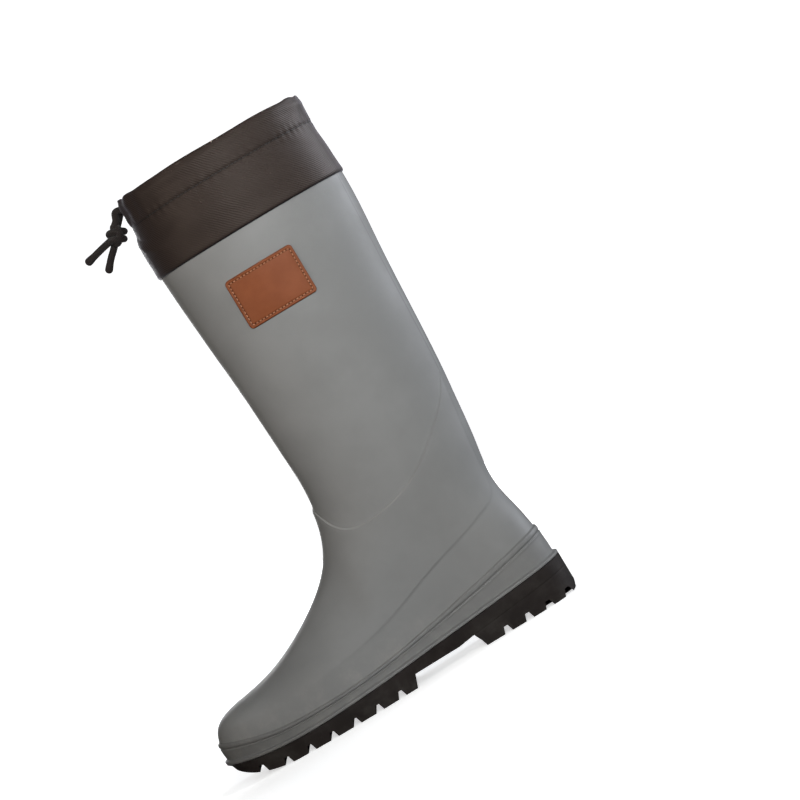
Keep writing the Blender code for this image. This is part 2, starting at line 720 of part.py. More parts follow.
def make_drawcord(material):
    """Two leads out of the gaiter's front, a knot that ties them, and two short ends."""
    face_out = np.array(CORD_EXIT_SLACK + GAITER_WALL)
    face_x = float(form_points(level_at(CORD_EXIT_Z), math.pi, face_out)[0])
    face_y = float(middle_y(face_x))
    knot = (face_x + KNOT_REACH, face_y, KNOT_Z)
    pieces = [make_knot(knot, material)]
    for side, tag in ((1.0, "outer"), (-1.0, "inner")):
        y = face_y + side * CORD_SPREAD
        lead = ((face_x, y, CORD_EXIT_Z), (face_x + 4.0, y, CORD_EXIT_Z - 0.6),
                (knot[0] - 3.6, y, CORD_EXIT_Z - 3.2), (knot[0] - 1.6, y, knot[2] + 8.6))
        pieces.append(make_cord("drawcord_lead_" + tag, lead, LEAD_POINTS, material))
    for row in CORD_ENDS:
        y = face_y + row.side * CORD_SPREAD
        start = KNOT_CLEAR / math.hypot(row.reach, row.drop)
        end = ((knot[0] + row.reach * start, y, knot[2] + row.drop * start),
               (knot[0] + row.reach * 0.65, y + row.side * END_SPLAY * 0.45, knot[2] + row.drop * 0.62),
               (knot[0] + row.reach, y + row.side * END_SPLAY, knot[2] + row.drop))
        pieces.append(make_cord("drawcord_end_" + row.name, end, END_POINTS, material))
    return pieces


def stand_on_origin(pieces):
    """Hang every piece on one empty, placed so that the boot's box stands centred on the origin."""
    low = np.full(2, np.inf)
    high = np.full(2, -np.inf)
    for piece in pieces:
        if piece.type == "MESH" and not piece.name.startswith("drawcord"):
            xy = np.array([vert.co[:2] for vert in piece.data.vertices])
            low = np.minimum(low, xy.min(axis=0))
            high = np.maximum(high, xy.max(axis=0))
    middle = (low + high) / 2.0
    frame = bpy.data.objects.new("boot_frame", None)
    frame.location = (-middle[0], -middle[1], 0.0)
    bpy.context.collection.objects.link(frame)
    for piece in pieces:
        piece.parent = frame


def main():
    for old in list(bpy.data.objects):
        bpy.data.objects.remove(old, do_unlink=True)
    grey_rubber = make_material("grey_rubber", (0.22, 0.22, 0.215), 0.5)
    black_rubber = make_material("black_rubber", (0.018, 0.016, 0.015), 0.55)
    gaiter_cloth = make_material("gaiter_cloth", (0.05, 0.042, 0.04), 0.6)
    tan_leather = make_material("tan_leather", (0.24, 0.075, 0.03), 0.55)
    insole_felt = make_material("insole_felt", (0.12, 0.115, 0.11), 0.9)
    black_cord = make_material("black_cord", (0.03, 0.026, 0.025), 0.75)
    pieces = [
        make_upper(grey_rubber),
        make_outsole(black_rubber),
        make_insole(insole_felt),
        make_gaiter(gaiter_cloth),
        make_patch(tan_leather),
    ]
    pieces += make_drawcord(black_cord)
    stand_on_origin(pieces)


main()
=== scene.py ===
# %% [markdown]
# A left rubber boot stands empty on its sole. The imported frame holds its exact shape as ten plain
# solids. This lesson gives each solid the fine shape that the eye expects, such as the ribs of the
# rand, the panel edges, the cloth's folds and the stitches, and then a surface. The frame stays where
# it is: every new piece is laid over the solid that it stands for.

# %% Load the frame
import math
from collections import namedtuple
from functools import lru_cache

import bmesh
import bpy
import numpy as np
from mathutils import Matrix, Vector


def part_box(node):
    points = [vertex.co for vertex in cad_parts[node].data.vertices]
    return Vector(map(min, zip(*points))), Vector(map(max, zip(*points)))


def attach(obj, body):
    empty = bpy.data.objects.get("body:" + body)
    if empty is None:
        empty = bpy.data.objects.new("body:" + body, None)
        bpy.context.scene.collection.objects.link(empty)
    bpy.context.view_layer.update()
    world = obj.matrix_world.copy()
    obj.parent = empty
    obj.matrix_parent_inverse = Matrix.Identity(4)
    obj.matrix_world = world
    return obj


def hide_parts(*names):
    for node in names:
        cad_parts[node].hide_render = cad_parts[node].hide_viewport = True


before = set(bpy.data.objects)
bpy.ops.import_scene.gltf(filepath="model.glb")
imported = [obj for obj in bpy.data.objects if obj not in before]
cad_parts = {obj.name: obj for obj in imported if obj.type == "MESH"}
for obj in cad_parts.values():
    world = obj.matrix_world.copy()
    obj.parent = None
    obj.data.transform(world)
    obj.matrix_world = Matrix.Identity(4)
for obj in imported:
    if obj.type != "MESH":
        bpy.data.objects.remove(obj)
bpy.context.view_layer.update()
MM = 0.001

# %% [markdown]
# The boot's form could be taken from the frame's own mesh, but that has only as many points as the
# solids need. Here the same side outlines and sections are written down again, so that any number of
# points can be placed on the form. Sizes are in millimetres: x runs from the back of the heel to the
# toe, y to the outer side of the left foot and z up from the floor.

# %% Sizes and tables of the form
GAP = 0.3
WALL = 2.4
TOE_SWING = 6.0
TOE_SWING_START = 150.0
TOE_TIP_X = 289.0
LIP_OUT = 3.2
LIP_HEIGHT = 2.4
RAND_EASE = 0.8
RUBBER_EDGE_Z = 358.0

Profile = namedtuple("Profile", "name x z")
FootRow = namedtuple("FootRow", "name x lip_z rand_z outer inner")
LegRow = namedtuple("LegRow", "name z half_width back_round outer_round inner_round")
RidgeRow = namedtuple("RidgeRow", "name x round")
RingRow = namedtuple("RingRow", "name back_z front_z follow")

# Side outline of the upper, from the sole up
FRONT_LINE = (
    Profile("toe_lip", 285.6, 20.0),
    Profile("toe_wall", 286.2, 27.5),
    Profile("toe_nose", 285.4, 35.0),
    Profile("toe_crown", 280.2, 45.6),
    Profile("toe_top", 268.0, 51.8),
    Profile("toe_back", 243.0, 56.6),
    Profile("vamp_front", 221.0, 62.8),
    Profile("vamp", 193.0, 76.2),
    Profile("instep", 170.4, 91.0),
    Profile("instep_top", 149.2, 114.0),
    Profile("throat", 139.4, 141.0),
    Profile("shin", 136.6, 165.0),
    Profile("shin_low", 137.2, 190.0),
    Profile("shin_mid", 139.2, 236.0),
    Profile("shin_high", 142.9, 289.0),
    Profile("shaft_top", 146.3, 346.0),
    Profile("collar_belly", 146.6, 372.0),
    Profile("collar_top", 142.4, 413.0),
)
BACK_LINE = (
    Profile("heel_lip", 4.2, 27.0),
    Profile("heel_wall", 4.9, 40.0),
    Profile("heel_rand", 6.8, 56.0),
    Profile("counter", 10.3, 75.0),
    Profile("counter_top", 13.4, 89.0),
    Profile("ankle", 14.4, 102.0),
    Profile("tendon", 11.2, 128.0),
    Profile("gather", 7.4, 158.0),
    Profile("calf_low", 3.0, 206.0),
    Profile("calf", -2.5, 288.0),
    Profile("shaft_top", -6.1, 347.0),
    Profile("collar_belly", -4.6, 378.0),
    Profile("collar_top", -4.6, 413.0),
)

# Foot sections from heel to toe: lip and rand heights and the two half widths
FOOT = (
    FootRow("heel_back", 0.0, 29.0, 56.0, 33.0, 33.0),
    FootRow("heel_seat", 40.0, 25.3, 47.6, 33.5, 33.0),
    FootRow("breast", 78.0, 21.9, 39.6, 34.5, 32.0),
    FootRow("waist", 112.0, 19.3, 33.2, 37.5, 31.5),
    FootRow("arch_end", 147.0, 16.6, 27.8, 42.5, 35.0),
    FootRow("joint", 180.0, 14.7, 25.1, 46.5, 41.5),
    FootRow("ball", 210.0, 13.2, 24.4, 47.0, 46.0),
    FootRow("toe_root", 240.0, 13.4, 25.8, 46.0, 46.5),
    FootRow("toe_cap", 265.0, 15.6, 30.4, 45.0, 46.0),
    FootRow("toe_tip", 289.0, 20.0, 36.5, 45.0, 45.0),
)

# Leg sections from the sole up: half width and how far the roundings reach in from each edge
LEG = (
    LegRow("seat", 13.0, 33.0, 34.0, 92.0, 64.0),
    LegRow("rand", 56.0, 34.0, 36.0, 84.0, 62.0),
    LegRow("heel", 80.0, 35.5, 41.0, 76.0, 62.0),
    LegRow("ankle", 104.0, 38.0, 47.0, 70.0, 62.0),
    LegRow("throat", 145.0, 41.5, 59.5, 65.0, 63.0),
    LegRow("gather", 180.0, 44.0, 66.0, 65.5, 65.5),
    LegRow("low_shaft", 220.0, 48.0, 69.0, 68.0, 68.0),
    LegRow("calf", 290.0, 54.5, 72.7, 72.7, 72.7),
    LegRow("shaft_top", 347.0, 58.0, 76.2, 76.2, 76.2),
    LegRow("collar_belly", 376.0, 58.2, 76.4, 76.4, 76.4),
    LegRow("collar_top", 413.0, 56.5, 73.6, 73.6, 73.6),
)

# How far down the sides the rounded top of the foot reaches
RIDGE = (
    RidgeRow("waist", 90.0, 115.0),
    RidgeRow("throat", 140.0, 82.0),
    RidgeRow("instep", 175.0, 56.0),
    RidgeRow("vamp", 205.0, 41.0),
    RidgeRow("toe_back", 235.0, 33.0),
    RidgeRow("toe_top", 265.0, 27.0),
    RidgeRow("toe_nose", 289.0, 23.0),
)

# Rings of the mesh above the rand: heights at back and front, and how much they dip with the rand
RINGS = (
    RingRow("above_rand", 59.6, 41.2, 0.92),
    RingRow("toe_wall", 62.6, 45.3, 0.82),
    RingRow("toe_crown", 66.0, 48.9, 0.70),
    RingRow("toe_top", 70.0, 52.1, 0.58),
    RingRow("toe_back", 74.5, 55.5, 0.46),
    RingRow("vamp_front", 79.5, 60.0, 0.35),
    RingRow("vamp", 85.5, 67.0, 0.25),
    RingRow("vamp_top", 92.5, 77.5, 0.16),
    RingRow("instep", 100.5, 91.0, 0.08),
    RingRow("instep_mid", 110.0, 106.5, 0.03),
    RingRow("instep_top", 121.0, 123.5, 0.0),
    RingRow("throat", 136.0, 141.0, 0.0),
    RingRow("ankle_top", 156.0, 161.0, 0.0),
    RingRow("gather", 184.0, 186.0, 0.0),
    RingRow("low_shaft", 218.0, 219.0, 0.0),
    RingRow("mid_shaft", 260.0, 260.0, 0.0),
    RingRow("calf", 304.0, 304.0, 0.0),
    RingRow("shaft_top", 346.5, 346.5, 0.0),
    RingRow("rubber_edge", RUBBER_EDGE_Z, RUBBER_EDGE_Z, 0.0),
    RingRow("collar_belly", 384.0, 384.0, 0.0),
    RingRow("collar_top", 412.0, 412.0, 0.0),
)

print("Tables:", len(FRONT_LINE), "front points,", len(FOOT), "foot rows,", len(LEG), "leg rows")

# %% Curve helpers
def spline(at, values):
    """Natural cubic curve through the values; straight on past both ends."""
    at = np.asarray(at, dtype=float)
    values = np.asarray(values, dtype=float)
    count = len(at)
    step = np.diff(at)
    rise = np.diff(values) / step
    system = np.eye(count)
    right = np.zeros(count)
    for i in range(1, count - 1):
        system[i, i - 1] = step[i - 1]
        system[i, i] = 2.0 * (step[i - 1] + step[i])
        system[i, i + 1] = step[i]
        right[i] = 6.0 * (rise[i] - rise[i - 1])
    bend = np.linalg.solve(system, right)
    start_slope = rise[0] - step[0] * bend[1] / 6.0
    end_slope = rise[-1] + step[-1] * bend[-2] / 6.0

    def curve(x):
        x = np.asarray(x, dtype=float)
        inside = np.clip(x, at[0], at[-1])
        i = np.clip(np.searchsorted(at, inside) - 1, 0, count - 2)
        left = (at[i + 1] - inside) / step[i]
        over = 1.0 - left
        bow = ((left ** 3 - left) * bend[i] + (over ** 3 - over) * bend[i + 1]) * step[i] ** 2 / 6.0
        return (left * values[i] + over * values[i + 1] + bow
                + np.minimum(x - at[0], 0.0) * start_slope
                + np.maximum(x - at[-1], 0.0) * end_slope)

    return curve


def column(rows, key, value):
    """One column of a table as a smooth curve over another."""
    return spline([getattr(row, key) for row in rows], [getattr(row, value) for row in rows])


def smoothstep(low, high, value):
    share = np.clip((value - low) / (high - low), 0.0, 1.0)
    return share * share * (3.0 - 2.0 * share)


def bell(value, middle, half):
    """A soft bump of height 1 at the middle, nearly gone at twice the half width."""
    return np.exp(-((value - middle) / half) ** 2)


def unit(vectors):
    return vectors / np.linalg.norm(vectors, axis=-1, keepdims=True)


def full_turn(columns):
    """Angles of evenly spaced columns, once round."""
    return np.arange(columns) * 2.0 * math.pi / columns


def distance_along(points):
    """How far along a line of points each of them lies."""
    return np.concatenate(([0.0], np.cumsum(np.linalg.norm(np.diff(points, axis=0), axis=1))))


def smooth_route(corners, points):
    """Evenly spaced points on the smooth curve through the corners."""
    corners = np.array(corners, dtype=float)
    along = distance_along(corners)
    fine = np.linspace(0.0, along[-1], points)
    return np.stack([spline(along, values)(fine) for values in corners.T], axis=-1)


print("Curve helpers are ready")

# %% Outlines and widths
OUTLINE_POINTS = 3000
front_xs, front_zs = smooth_route([(row.x, row.z) for row in FRONT_LINE], OUTLINE_POINTS).T
back_xs, back_zs = smooth_route([(row.x, row.z) for row in BACK_LINE], OUTLINE_POINTS).T
TOE_NOSE = int(np.argmax(front_xs))
INSTEP_Z = 112.0
INSTEP = int(np.searchsorted(front_zs, INSTEP_Z))
INSTEP_SLOPE = (front_zs[INSTEP] - front_zs[INSTEP - 1]) / (front_xs[INSTEP - 1] - front_xs[INSTEP])
RIDGE_BEND = 0.06
RIDGE_CLIMB = 0.009
RIDGE_FADE = (105.0, 160.0)
LEG_FADE = (45.0, 140.0)
FOOT_SQUARENESS = 2.35
LEG_SQUARENESS = 2.05
TINY = 1e-6

lip_height = column(FOOT, "x", "lip_z")
rand_height = column(FOOT, "x", "rand_z")
foot_outer = column(FOOT, "x", "outer")
foot_inner = column(FOOT, "x", "inner")
leg_width = column(LEG, "z", "half_width")
back_round = column(LEG, "z", "back_round")
outer_round = column(LEG, "z", "outer_round")
inner_round = column(LEG, "z", "inner_round")
ridge_round = column(RIDGE, "x", "round")


def front_x(z):
    return np.interp(z, front_zs, front_xs)


def back_x(z):
    return np.interp(z, back_zs, back_xs)


def ridge_z(x):
    """Height of the foot's top line, carried on behind the instep as a climbing curve."""
    toe_to_instep = slice(TOE_NOSE, INSTEP + 1)
    top = np.interp(x, front_xs[toe_to_instep][::-1], front_zs[toe_to_instep][::-1])
    behind = np.maximum(front_xs[INSTEP] - x, 0.0)
    return top + INSTEP_SLOPE * behind + RIDGE_BEND * behind ** 2 + RIDGE_CLIMB * behind ** 3


def middle_y(x):
    """The foot's middle line swings to the inner side at the toe."""
    return -TOE_SWING * smoothstep(TOE_SWING_START, TOE_TIP_X, x)


def rounding(reach, squareness):
    reach = np.clip(reach, 0.0, 1.0)
    return (1.0 - (1.0 - reach) ** squareness) ** (1.0 / squareness)


def half_width(x, z, outer):
    """Half width of the upper at a point of the side view, on the outer or the inner side."""
    leg_share = smoothstep(*LEG_FADE, z)
    plan = np.where(outer, foot_outer(x), foot_inner(x))
    body = plan + (leg_width(z) - plan) * leg_share
    squareness = FOOT_SQUARENESS + (LEG_SQUARENESS - FOOT_SQUARENESS) * leg_share
    nose = np.where(outer, outer_round(z), inner_round(z))
    ahead = np.maximum(front_x(z) - x, TINY) / nose
    above = np.maximum(ridge_z(x) - z, TINY) / ridge_round(x)
    above_share = 1.0 - smoothstep(*RIDGE_FADE, z)
    front_reach = 1.0 / np.sqrt(1.0 / ahead ** 2 + above_share / above ** 2)
    back_reach = np.maximum(x - back_x(z), 0.0) / back_round(z)
    return body * rounding(front_reach, squareness) * rounding(back_reach, squareness)


print("The toe reaches", round(float(front_xs.max()), 1), "mm forward at its nose")

# %% [markdown]
# The form is walked in rings. Level 0 is the lip, level 1 the top of the rand, and each row of the ring
# table is one level more. Low rings dip with the rand, and high ones lie level. A level and a turn round
# the leg then give any point of the form, and a stand-off moves it out or in.

# %% Rings round the form
LEVEL_SAMPLES = 2201


def rand_line(level, x):
    """Height of the lip at level 0 and of the rand's top edge at level 1."""
    return lip_height(x) + level * (rand_height(x) + RAND_EASE - lip_height(x))


def ring_tables():
    """Ends of every ring: x and z at the back and front, for levels from 0 at the lip."""
    rand_back = rand_line(1.0, back_x(rand_height(0.0)))
    rand_front = rand_line(1.0, front_x(rand_height(TOE_TIP_X)))
    levels = np.arange(1, len(RINGS) + 2)
    back = spline(levels, [rand_back] + [row.back_z for row in RINGS])
    front = spline(levels, [rand_front] + [row.front_z for row in RINGS])
    follow = spline(levels, [1.0] + [row.follow for row in RINGS])
    fine = np.linspace(0.0, levels[-1], LEVEL_SAMPLES)
    above = np.maximum(fine, 1.0)
    in_rand = fine < 1.0
    z_back = np.where(in_rand, rand_line(fine, back_x(lip_height(0.0))), back(above))
    z_front = np.where(in_rand, rand_line(fine, front_x(lip_height(TOE_TIP_X))), front(above))
    return fine, back_x(z_back), z_back, front_x(z_front), z_front, np.clip(follow(above), 0.0, 1.0)


LEVELS, RING_BACK_X, RING_BACK_Z, RING_FRONT_X, RING_FRONT_Z, RING_FOLLOW = ring_tables()
TOP_LEVEL = LEVELS[-1]
print("The rings run from level 0 at the lip to level", round(float(TOP_LEVEL)), "at the collar")

# %% Points on the form
def base_points(level, turn):
    """Points of the upper's form: level counts the rings from the lip, turn goes round from the back."""
    level, turn = np.broadcast_arrays(np.asarray(level, dtype=float), np.asarray(turn, dtype=float))
    x_back = np.interp(level, LEVELS, RING_BACK_X)
    x_front = np.interp(level, LEVELS, RING_FRONT_X)
    z_back = np.interp(level, LEVELS, RING_BACK_Z)
    z_front = np.interp(level, LEVELS, RING_FRONT_Z)
    along = (1.0 - np.cos(turn)) / 2.0
    x = x_back + along * (x_front - x_back)
    rand_top = rand_line(1.0, x)
    rand_chord = (1.0 - along) * rand_line(1.0, x_back) + along * rand_line(1.0, x_front)
    dip = np.interp(level, LEVELS, RING_FOLLOW) * (rand_top - rand_chord)
    z = np.where(level < 1.0, rand_line(level, x), z_back + along * (z_front - z_back) + dip)
    outer = np.sin(turn) >= 0.0
    side = np.where(outer, 1.0, -1.0) * (np.abs(np.sin(turn)) > TINY)
    return np.stack((x, middle_y(x) + side * half_width(x, z, outer), z), axis=-1)


def form_points(level, turn, out):
    """The upper's form moved out along its own normals, which lie level in the rand."""
    level, turn = np.broadcast_arrays(np.asarray(level, dtype=float), np.asarray(turn, dtype=float))
    small_level, small_turn = 0.04, 0.02
    low = np.clip(level - small_level, 0.0, TOP_LEVEL)
    high = np.clip(level + small_level, 0.0, TOP_LEVEL)
    up = base_points(high, turn) - base_points(low, turn)
    around = base_points(level, turn + small_turn) - base_points(level, turn - small_turn)
    normal = unit(np.cross(up, around))
    normal[..., 2] *= smoothstep(1.0, 2.0, level)
    normal = unit(normal)
    return base_points(level, turn) + normal * np.asarray(out, dtype=float)[..., None]


def side_points(x, z, out):
    """Points on the outer side of the leg at given places of the side view, moved out."""
    step = 0.5
    width = half_width(x, z, True)
    slope_x = (half_width(x + step, z, True) - half_width(x - step, z, True)) / (2.0 * step)
    slope_z = (half_width(x, z + step, True) - half_width(x, z - step, True)) / (2.0 * step)
    normal = unit(np.stack((-slope_x, np.ones_like(slope_x), -slope_z), axis=-1))
    return np.stack((x, middle_y(x) + width, z), axis=-1) + normal * out


def level_at(z):
    return np.interp(z, RING_BACK_Z, LEVELS)


def path_length(path):
    return float(distance_along(path)[-1])


ROW_SHIFT = float(form_points(0.0, math.pi, np.array(LIP_OUT))[0]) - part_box("upper")[1][0] / MM


def to_row(points):
    """Millimetres counted from the heel, as metres in the frame's own axes."""
    return (np.asarray(points, dtype=float) - (ROW_SHIFT, 0.0, 0.0)) * MM


print("The heel's back lies", round(ROW_SHIFT, 2), "mm behind the frame's origin")

# %% [markdown]
# The camera comes first, because every later choice is judged through it. It looks square at the
# outer side from a little above. The boot leans in the picture: instead of tilting the boot, which has
# to stand on its sole, the camera is rolled.

# %% Camera
LEAN = math.radians(31.0)
LIFT = math.radians(1.5)
DISTANCE = 2500.0
LENS = 154.4
SENSOR = 36.0
AIM = (43.0, 0.0, 182.7)

level_right = Vector((-1.0, 0.0, 0.0))
level_up = Vector((0.0, -math.sin(LIFT), math.cos(LIFT)))
to_camera = Vector((0.0, math.cos(LIFT), math.sin(LIFT)))
right = math.cos(LEAN) * level_right - math.sin(LEAN) * level_up
up = math.sin(LEAN) * level_right + math.cos(LEAN) * level_up
camera_data = bpy.data.cameras.new("camera")
camera_data.lens = LENS
camera_data.sensor_width = SENSOR
camera = bpy.data.objects.new("camera", camera_data)
camera.matrix_world = Matrix((right, up, to_camera)).transposed().to_4x4()
camera.location = Vector(to_row(AIM)) + to_camera * DISTANCE * MM
bpy.context.collection.objects.link(camera)
bpy.context.scene.camera = camera
print("Camera at", [round(value, 3) for value in camera.location])

# %% [markdown]
# Most pieces are stacks of closed rings: the upper, the gaiter and the cords. One function lists the
# quads of such a stack, one makes the mesh, and one draws a round tube along a path. Their cloth
# coordinates are in millimetres, so a weave keeps its true size on every piece.

# %% Mesh helpers
def ring_quads(rows, columns, closed=False):
    """Quads of a stack of closed rings, facing outwards; closed joins the last ring to the first."""
    i, j = np.meshgrid(np.arange(rows if closed else rows - 1), np.arange(columns), indexing="ij")
    here = i * columns
    above = (i + 1) % rows * columns
    beside = (j + 1) % columns
    return np.stack((here + j, above + j, above + beside, here + beside), axis=-1).reshape(-1, 4).tolist()


def ring_uv(around, along):
    """Corner coordinates for ring_quads; both grids have one row and one column more than the quads."""
    corners = [np.stack((around[a, b], along[a, b]), axis=-1)
               for a, b in ((np.s_[:-1], np.s_[:-1]), (np.s_[1:], np.s_[:-1]),
                            (np.s_[1:], np.s_[1:]), (np.s_[:-1], np.s_[1:]))]
    return np.stack(corners, axis=-2).reshape(-1, 2)


def make_piece(name, points, faces, uv=None):
    """A smooth mesh from points in millimetres; uv holds one pair for each face corner."""
    mesh = bpy.data.meshes.new(name)
    mesh.from_pydata(to_row(points).tolist(), [], faces)
    mesh.polygons.foreach_set("use_smooth", [True] * len(mesh.polygons))
    if uv is not None:
        layer = mesh.uv_layers.new(name="cloth")
        filled = np.zeros((len(mesh.loops), 2), dtype=np.float32)
        filled[:len(uv)] = uv
        layer.data.foreach_set("uv", filled.ravel())
    made = bpy.data.objects.new(name, mesh)
    bpy.context.collection.objects.link(made)
    return made


def store(piece, name, values):
    """Keep one number for each point, for a material to read."""
    layer = piece.data.attributes.new(name, "FLOAT", "POINT")
    layer.data.foreach_set("value", np.asarray(values, dtype=np.float32).ravel())


CAPS = 2
CAP_ANGLES = np.radians((18.0, 40.0, 62.0, 80.0))
SWELL_START = 6.0
SWELL_FULL = 1.0
FIRST_SIDE = (0.3, 0.9, 0.3)


def ring_caps(rows, columns):
    """The two polygons that close a stack of rings at its ends."""
    return [list(range(columns)), list(range(rows * columns - 1, (rows - 1) * columns - 1, -1))]


def tube_mesh(path, radius, sides=20, swell=0.0):
    """Points, faces and cloth coordinates of a round tube with rounded ends; swell fattens its far end."""
    tangent = unit(np.gradient(path, axis=0))
    along = distance_along(path)
    reach = (radius * np.sin(CAP_ANGLES))[:, None]
    fat = radius * (1.0 + swell * smoothstep(along[-1] - SWELL_START, along[-1] - SWELL_FULL, along))
    centres = np.concatenate((path[0] - reach[::-1] * tangent[0], path, path[-1] + reach * tangent[-1]))
    radii = np.concatenate((fat[0] * np.cos(CAP_ANGLES)[::-1], fat, fat[-1] * np.cos(CAP_ANGLES)))
    tangents = np.pad(tangent, ((len(CAP_ANGLES), len(CAP_ANGLES)), (0, 0)), mode="edge")
    lengths = np.pad(along, len(CAP_ANGLES), mode="edge")
    spin = full_turn(sides)[:, None]
    side = np.cross(tangents[0], FIRST_SIDE)
    rings = []
    for centre, size, ahead in zip(centres, radii, tangents):
        side = unit(side - ahead * np.dot(side, ahead))
        rings.append(centre + size * (np.cos(spin) * side + np.sin(spin) * np.cross(side, ahead)))
    faces = ring_quads(len(rings), sides) + ring_caps(len(rings), sides)
    around, rise = np.meshgrid(np.arange(sides + 1) * 2.0 * math.pi * radius / sides, lengths)
    return np.concatenate(rings), faces, ring_uv(around, rise)


print("Mesh helpers are ready")

# %% [markdown]
# The drawcord is two limp strands. Each is one smooth curve that leaves the gaiter's front, runs
# through the knot and ends bare. Past the knot they go through the same corners as the frame's own
# solids. Between the gaiter and the knot they arch up to 4 mm away from those solids, one ahead of the
# other, so that both show from the side. The knot is drawn as two loops of the same cord, wrapped over
# each other and pulled tight: a plain ball would hide how the cord is tied.

# %% Drawcord
CORD_DIAMETER = 5.4
CORD_SPREAD = 2.9
CORD_EXIT_Z = 404.0
CORD_FACE_OUT = 2.8
KNOT_REACH = 11.5
KNOT_Z = 391.5
KNOT_CLEAR = 7.45
END_SPLAY = 2.2
STRAND_POINTS = 70
LOOP_POINTS = 90
LOOP_TUCK = 0.55
TUCK_SHARE = 0.16
Strand = namedtuple("Strand", "name side ahead reach drop swell")
STRANDS = (
    Strand("outer", 1.0, 1.1, 27.0, -6.5, 0.16),
    Strand("inner", -1.0, -1.1, 18.0, -18.5, 0.1),
)
Loop = namedtuple("Loop", "name axis turns pitch radius")
KNOT_LOOPS = (
    Loop("wrap", (0.52, 0.12, -0.85), 2.1, 5.5, 5.4),
    Loop("cross", (0.75, 0.45, 0.45), 1.15, 2.4, 6.0),
)

face_x = float(form_points(level_at(CORD_EXIT_Z), math.pi, np.array(CORD_FACE_OUT))[0])
face_y = float(middle_y(face_x))
knot_centre = np.array((face_x + KNOT_REACH, face_y, KNOT_Z))


def strand_route(row):
    """Out of the gaiter, down into the knot, through it and out to the bare end."""
    y = face_y + row.side * CORD_SPREAD
    x, _, z = knot_centre
    start = KNOT_CLEAR / math.hypot(row.reach, row.drop)
    corners = [(face_x - 0.6, y, CORD_EXIT_Z + 1.5),
               (face_x + 2.6 + row.ahead, y, CORD_EXIT_Z + 0.8 + row.ahead),
               (face_x + 5.4 + row.ahead, y, CORD_EXIT_Z - 3.4),
               (x - 2.6 + row.ahead, y, z + 5.6),
               (x, face_y + row.side * CORD_SPREAD * 0.7, z + 1.5),
               (x + row.reach * start, y, z + row.drop * start),
               (x + row.reach * 0.65, y + row.side * END_SPLAY * 0.45, z + row.drop * 0.62),
               (x + row.reach, y + row.side * END_SPLAY, z + row.drop)]
    return smooth_route(corners, STRAND_POINTS)


def loop_route(row):
    """A tilted helix round the knot's middle whose two ends tuck inside."""
    axis = unit(np.array(row.axis))
    first = unit(np.cross(axis, (0.0, 1.0, 0.0)))
    second = np.cross(axis, first)
    share = np.linspace(0.0, 1.0, LOOP_POINTS)
    angle = share * row.turns * 2.0 * math.pi
    tuck = 1.0 - LOOP_TUCK * (1.0 - smoothstep(0.0, TUCK_SHARE, np.minimum(share, 1.0 - share)))
    swing = np.outer(np.cos(angle), first) + np.outer(np.sin(angle), second)
    climb = np.outer((share - 0.5) * row.turns * row.pitch, axis)
    return knot_centre + (row.radius * tuck)[:, None] * swing + climb


strand_paths = {row.name: strand_route(row) for row in STRANDS}
strands = {}
for row in STRANDS:
    strands[row.name] = make_piece("strand_" + row.name,
                                   *tube_mesh(strand_paths[row.name], CORD_DIAMETER / 2.0, swell=row.swell))
    print("Strand", row.name, "is", round(path_length(strand_paths[row.name]), 1), "mm long")

# The loops' ends lie inside the knot, so their caps are left off
knot_points, knot_faces, knot_uv = [], [], []
for row in KNOT_LOOPS:
    points, faces, uv = tube_mesh(loop_route(row), CORD_DIAMETER / 2.0)
    offset = sum(len(part) for part in knot_points)
    knot_points.append(points)
    knot_faces += [[corner + offset for corner in face] for face in faces[:-CAPS]]
    knot_uv.append(uv)
knot = make_piece("knot", np.concatenate(knot_points), knot_faces, np.concatenate(knot_uv))
print("The knot has", len(knot.data.polygons), "faces")

# %% [markdown]
# The upper is one rubber moulding, and its shapes are all soft steps. It could be sculpted, but
# measured steps are easier to place: each row of the mesh gets a stand-off from the smooth form. The
# rand near the floor is drawn as a section with a lip, a plain band, a thin rib, a groove and a bead.

# %% Upper: section of the rand
BAND_FOOT = 0.45
BAND_TOP = 1.0
RIB_OUT = 0.25
RIB_HALF = 0.7
RIB_TO_GROOVE = 1.35
GROOVE_IN = 0.48
GROOVE_HALF = 0.4
GROOVE_TO_BEAD = 0.35
BEAD_OUT = 1.55
BEAD_HALF = 2.4
BEAD_LIFT = 0.2
BEAD_EDGE = 0.4
BEAD_ROOM = 8.0
FULL_RAND = 20.0
LEAST_SQUEEZE = 0.55
LIP_STEP = (LIP_HEIGHT - 0.5, LIP_HEIGHT + 1.4)
LIP_ROUND = 0.5
LIP_ROUND_HEIGHT = 0.8
LIP_ROWS = (0.0, 0.3, 0.7, 1.2, 1.7, 2.1, 2.5, 2.9, 3.3, 3.8)
BAND_ROWS = 8
BEAD_ROWS = 30


def rand_squeeze(tall):
    """Where the rand is low, at the ball of the foot, its bead and rib shrink with it."""
    return np.clip(tall / FULL_RAND, LEAST_SQUEEZE, 1.0)


def rand_heights(tall):
    """Heights above the lip for the rows of the rand, closest together at the lip and at the bead."""
    bead_foot = tall - BEAD_ROOM * rand_squeeze(tall)
    lip_top, rand_top = LIP_ROWS[-1], tall + RAND_EASE
    lip_rows = np.repeat(np.array(LIP_ROWS)[:, None], len(tall), axis=1)
    band_rows = lip_top + np.outer(np.linspace(0.0, 1.0, BAND_ROWS)[1:], bead_foot - lip_top)
    bead_rows = bead_foot + np.outer(np.linspace(0.0, 1.0, BEAD_ROWS)[1:-1], rand_top - bead_foot)
    return np.concatenate((lip_rows, band_rows, bead_rows))


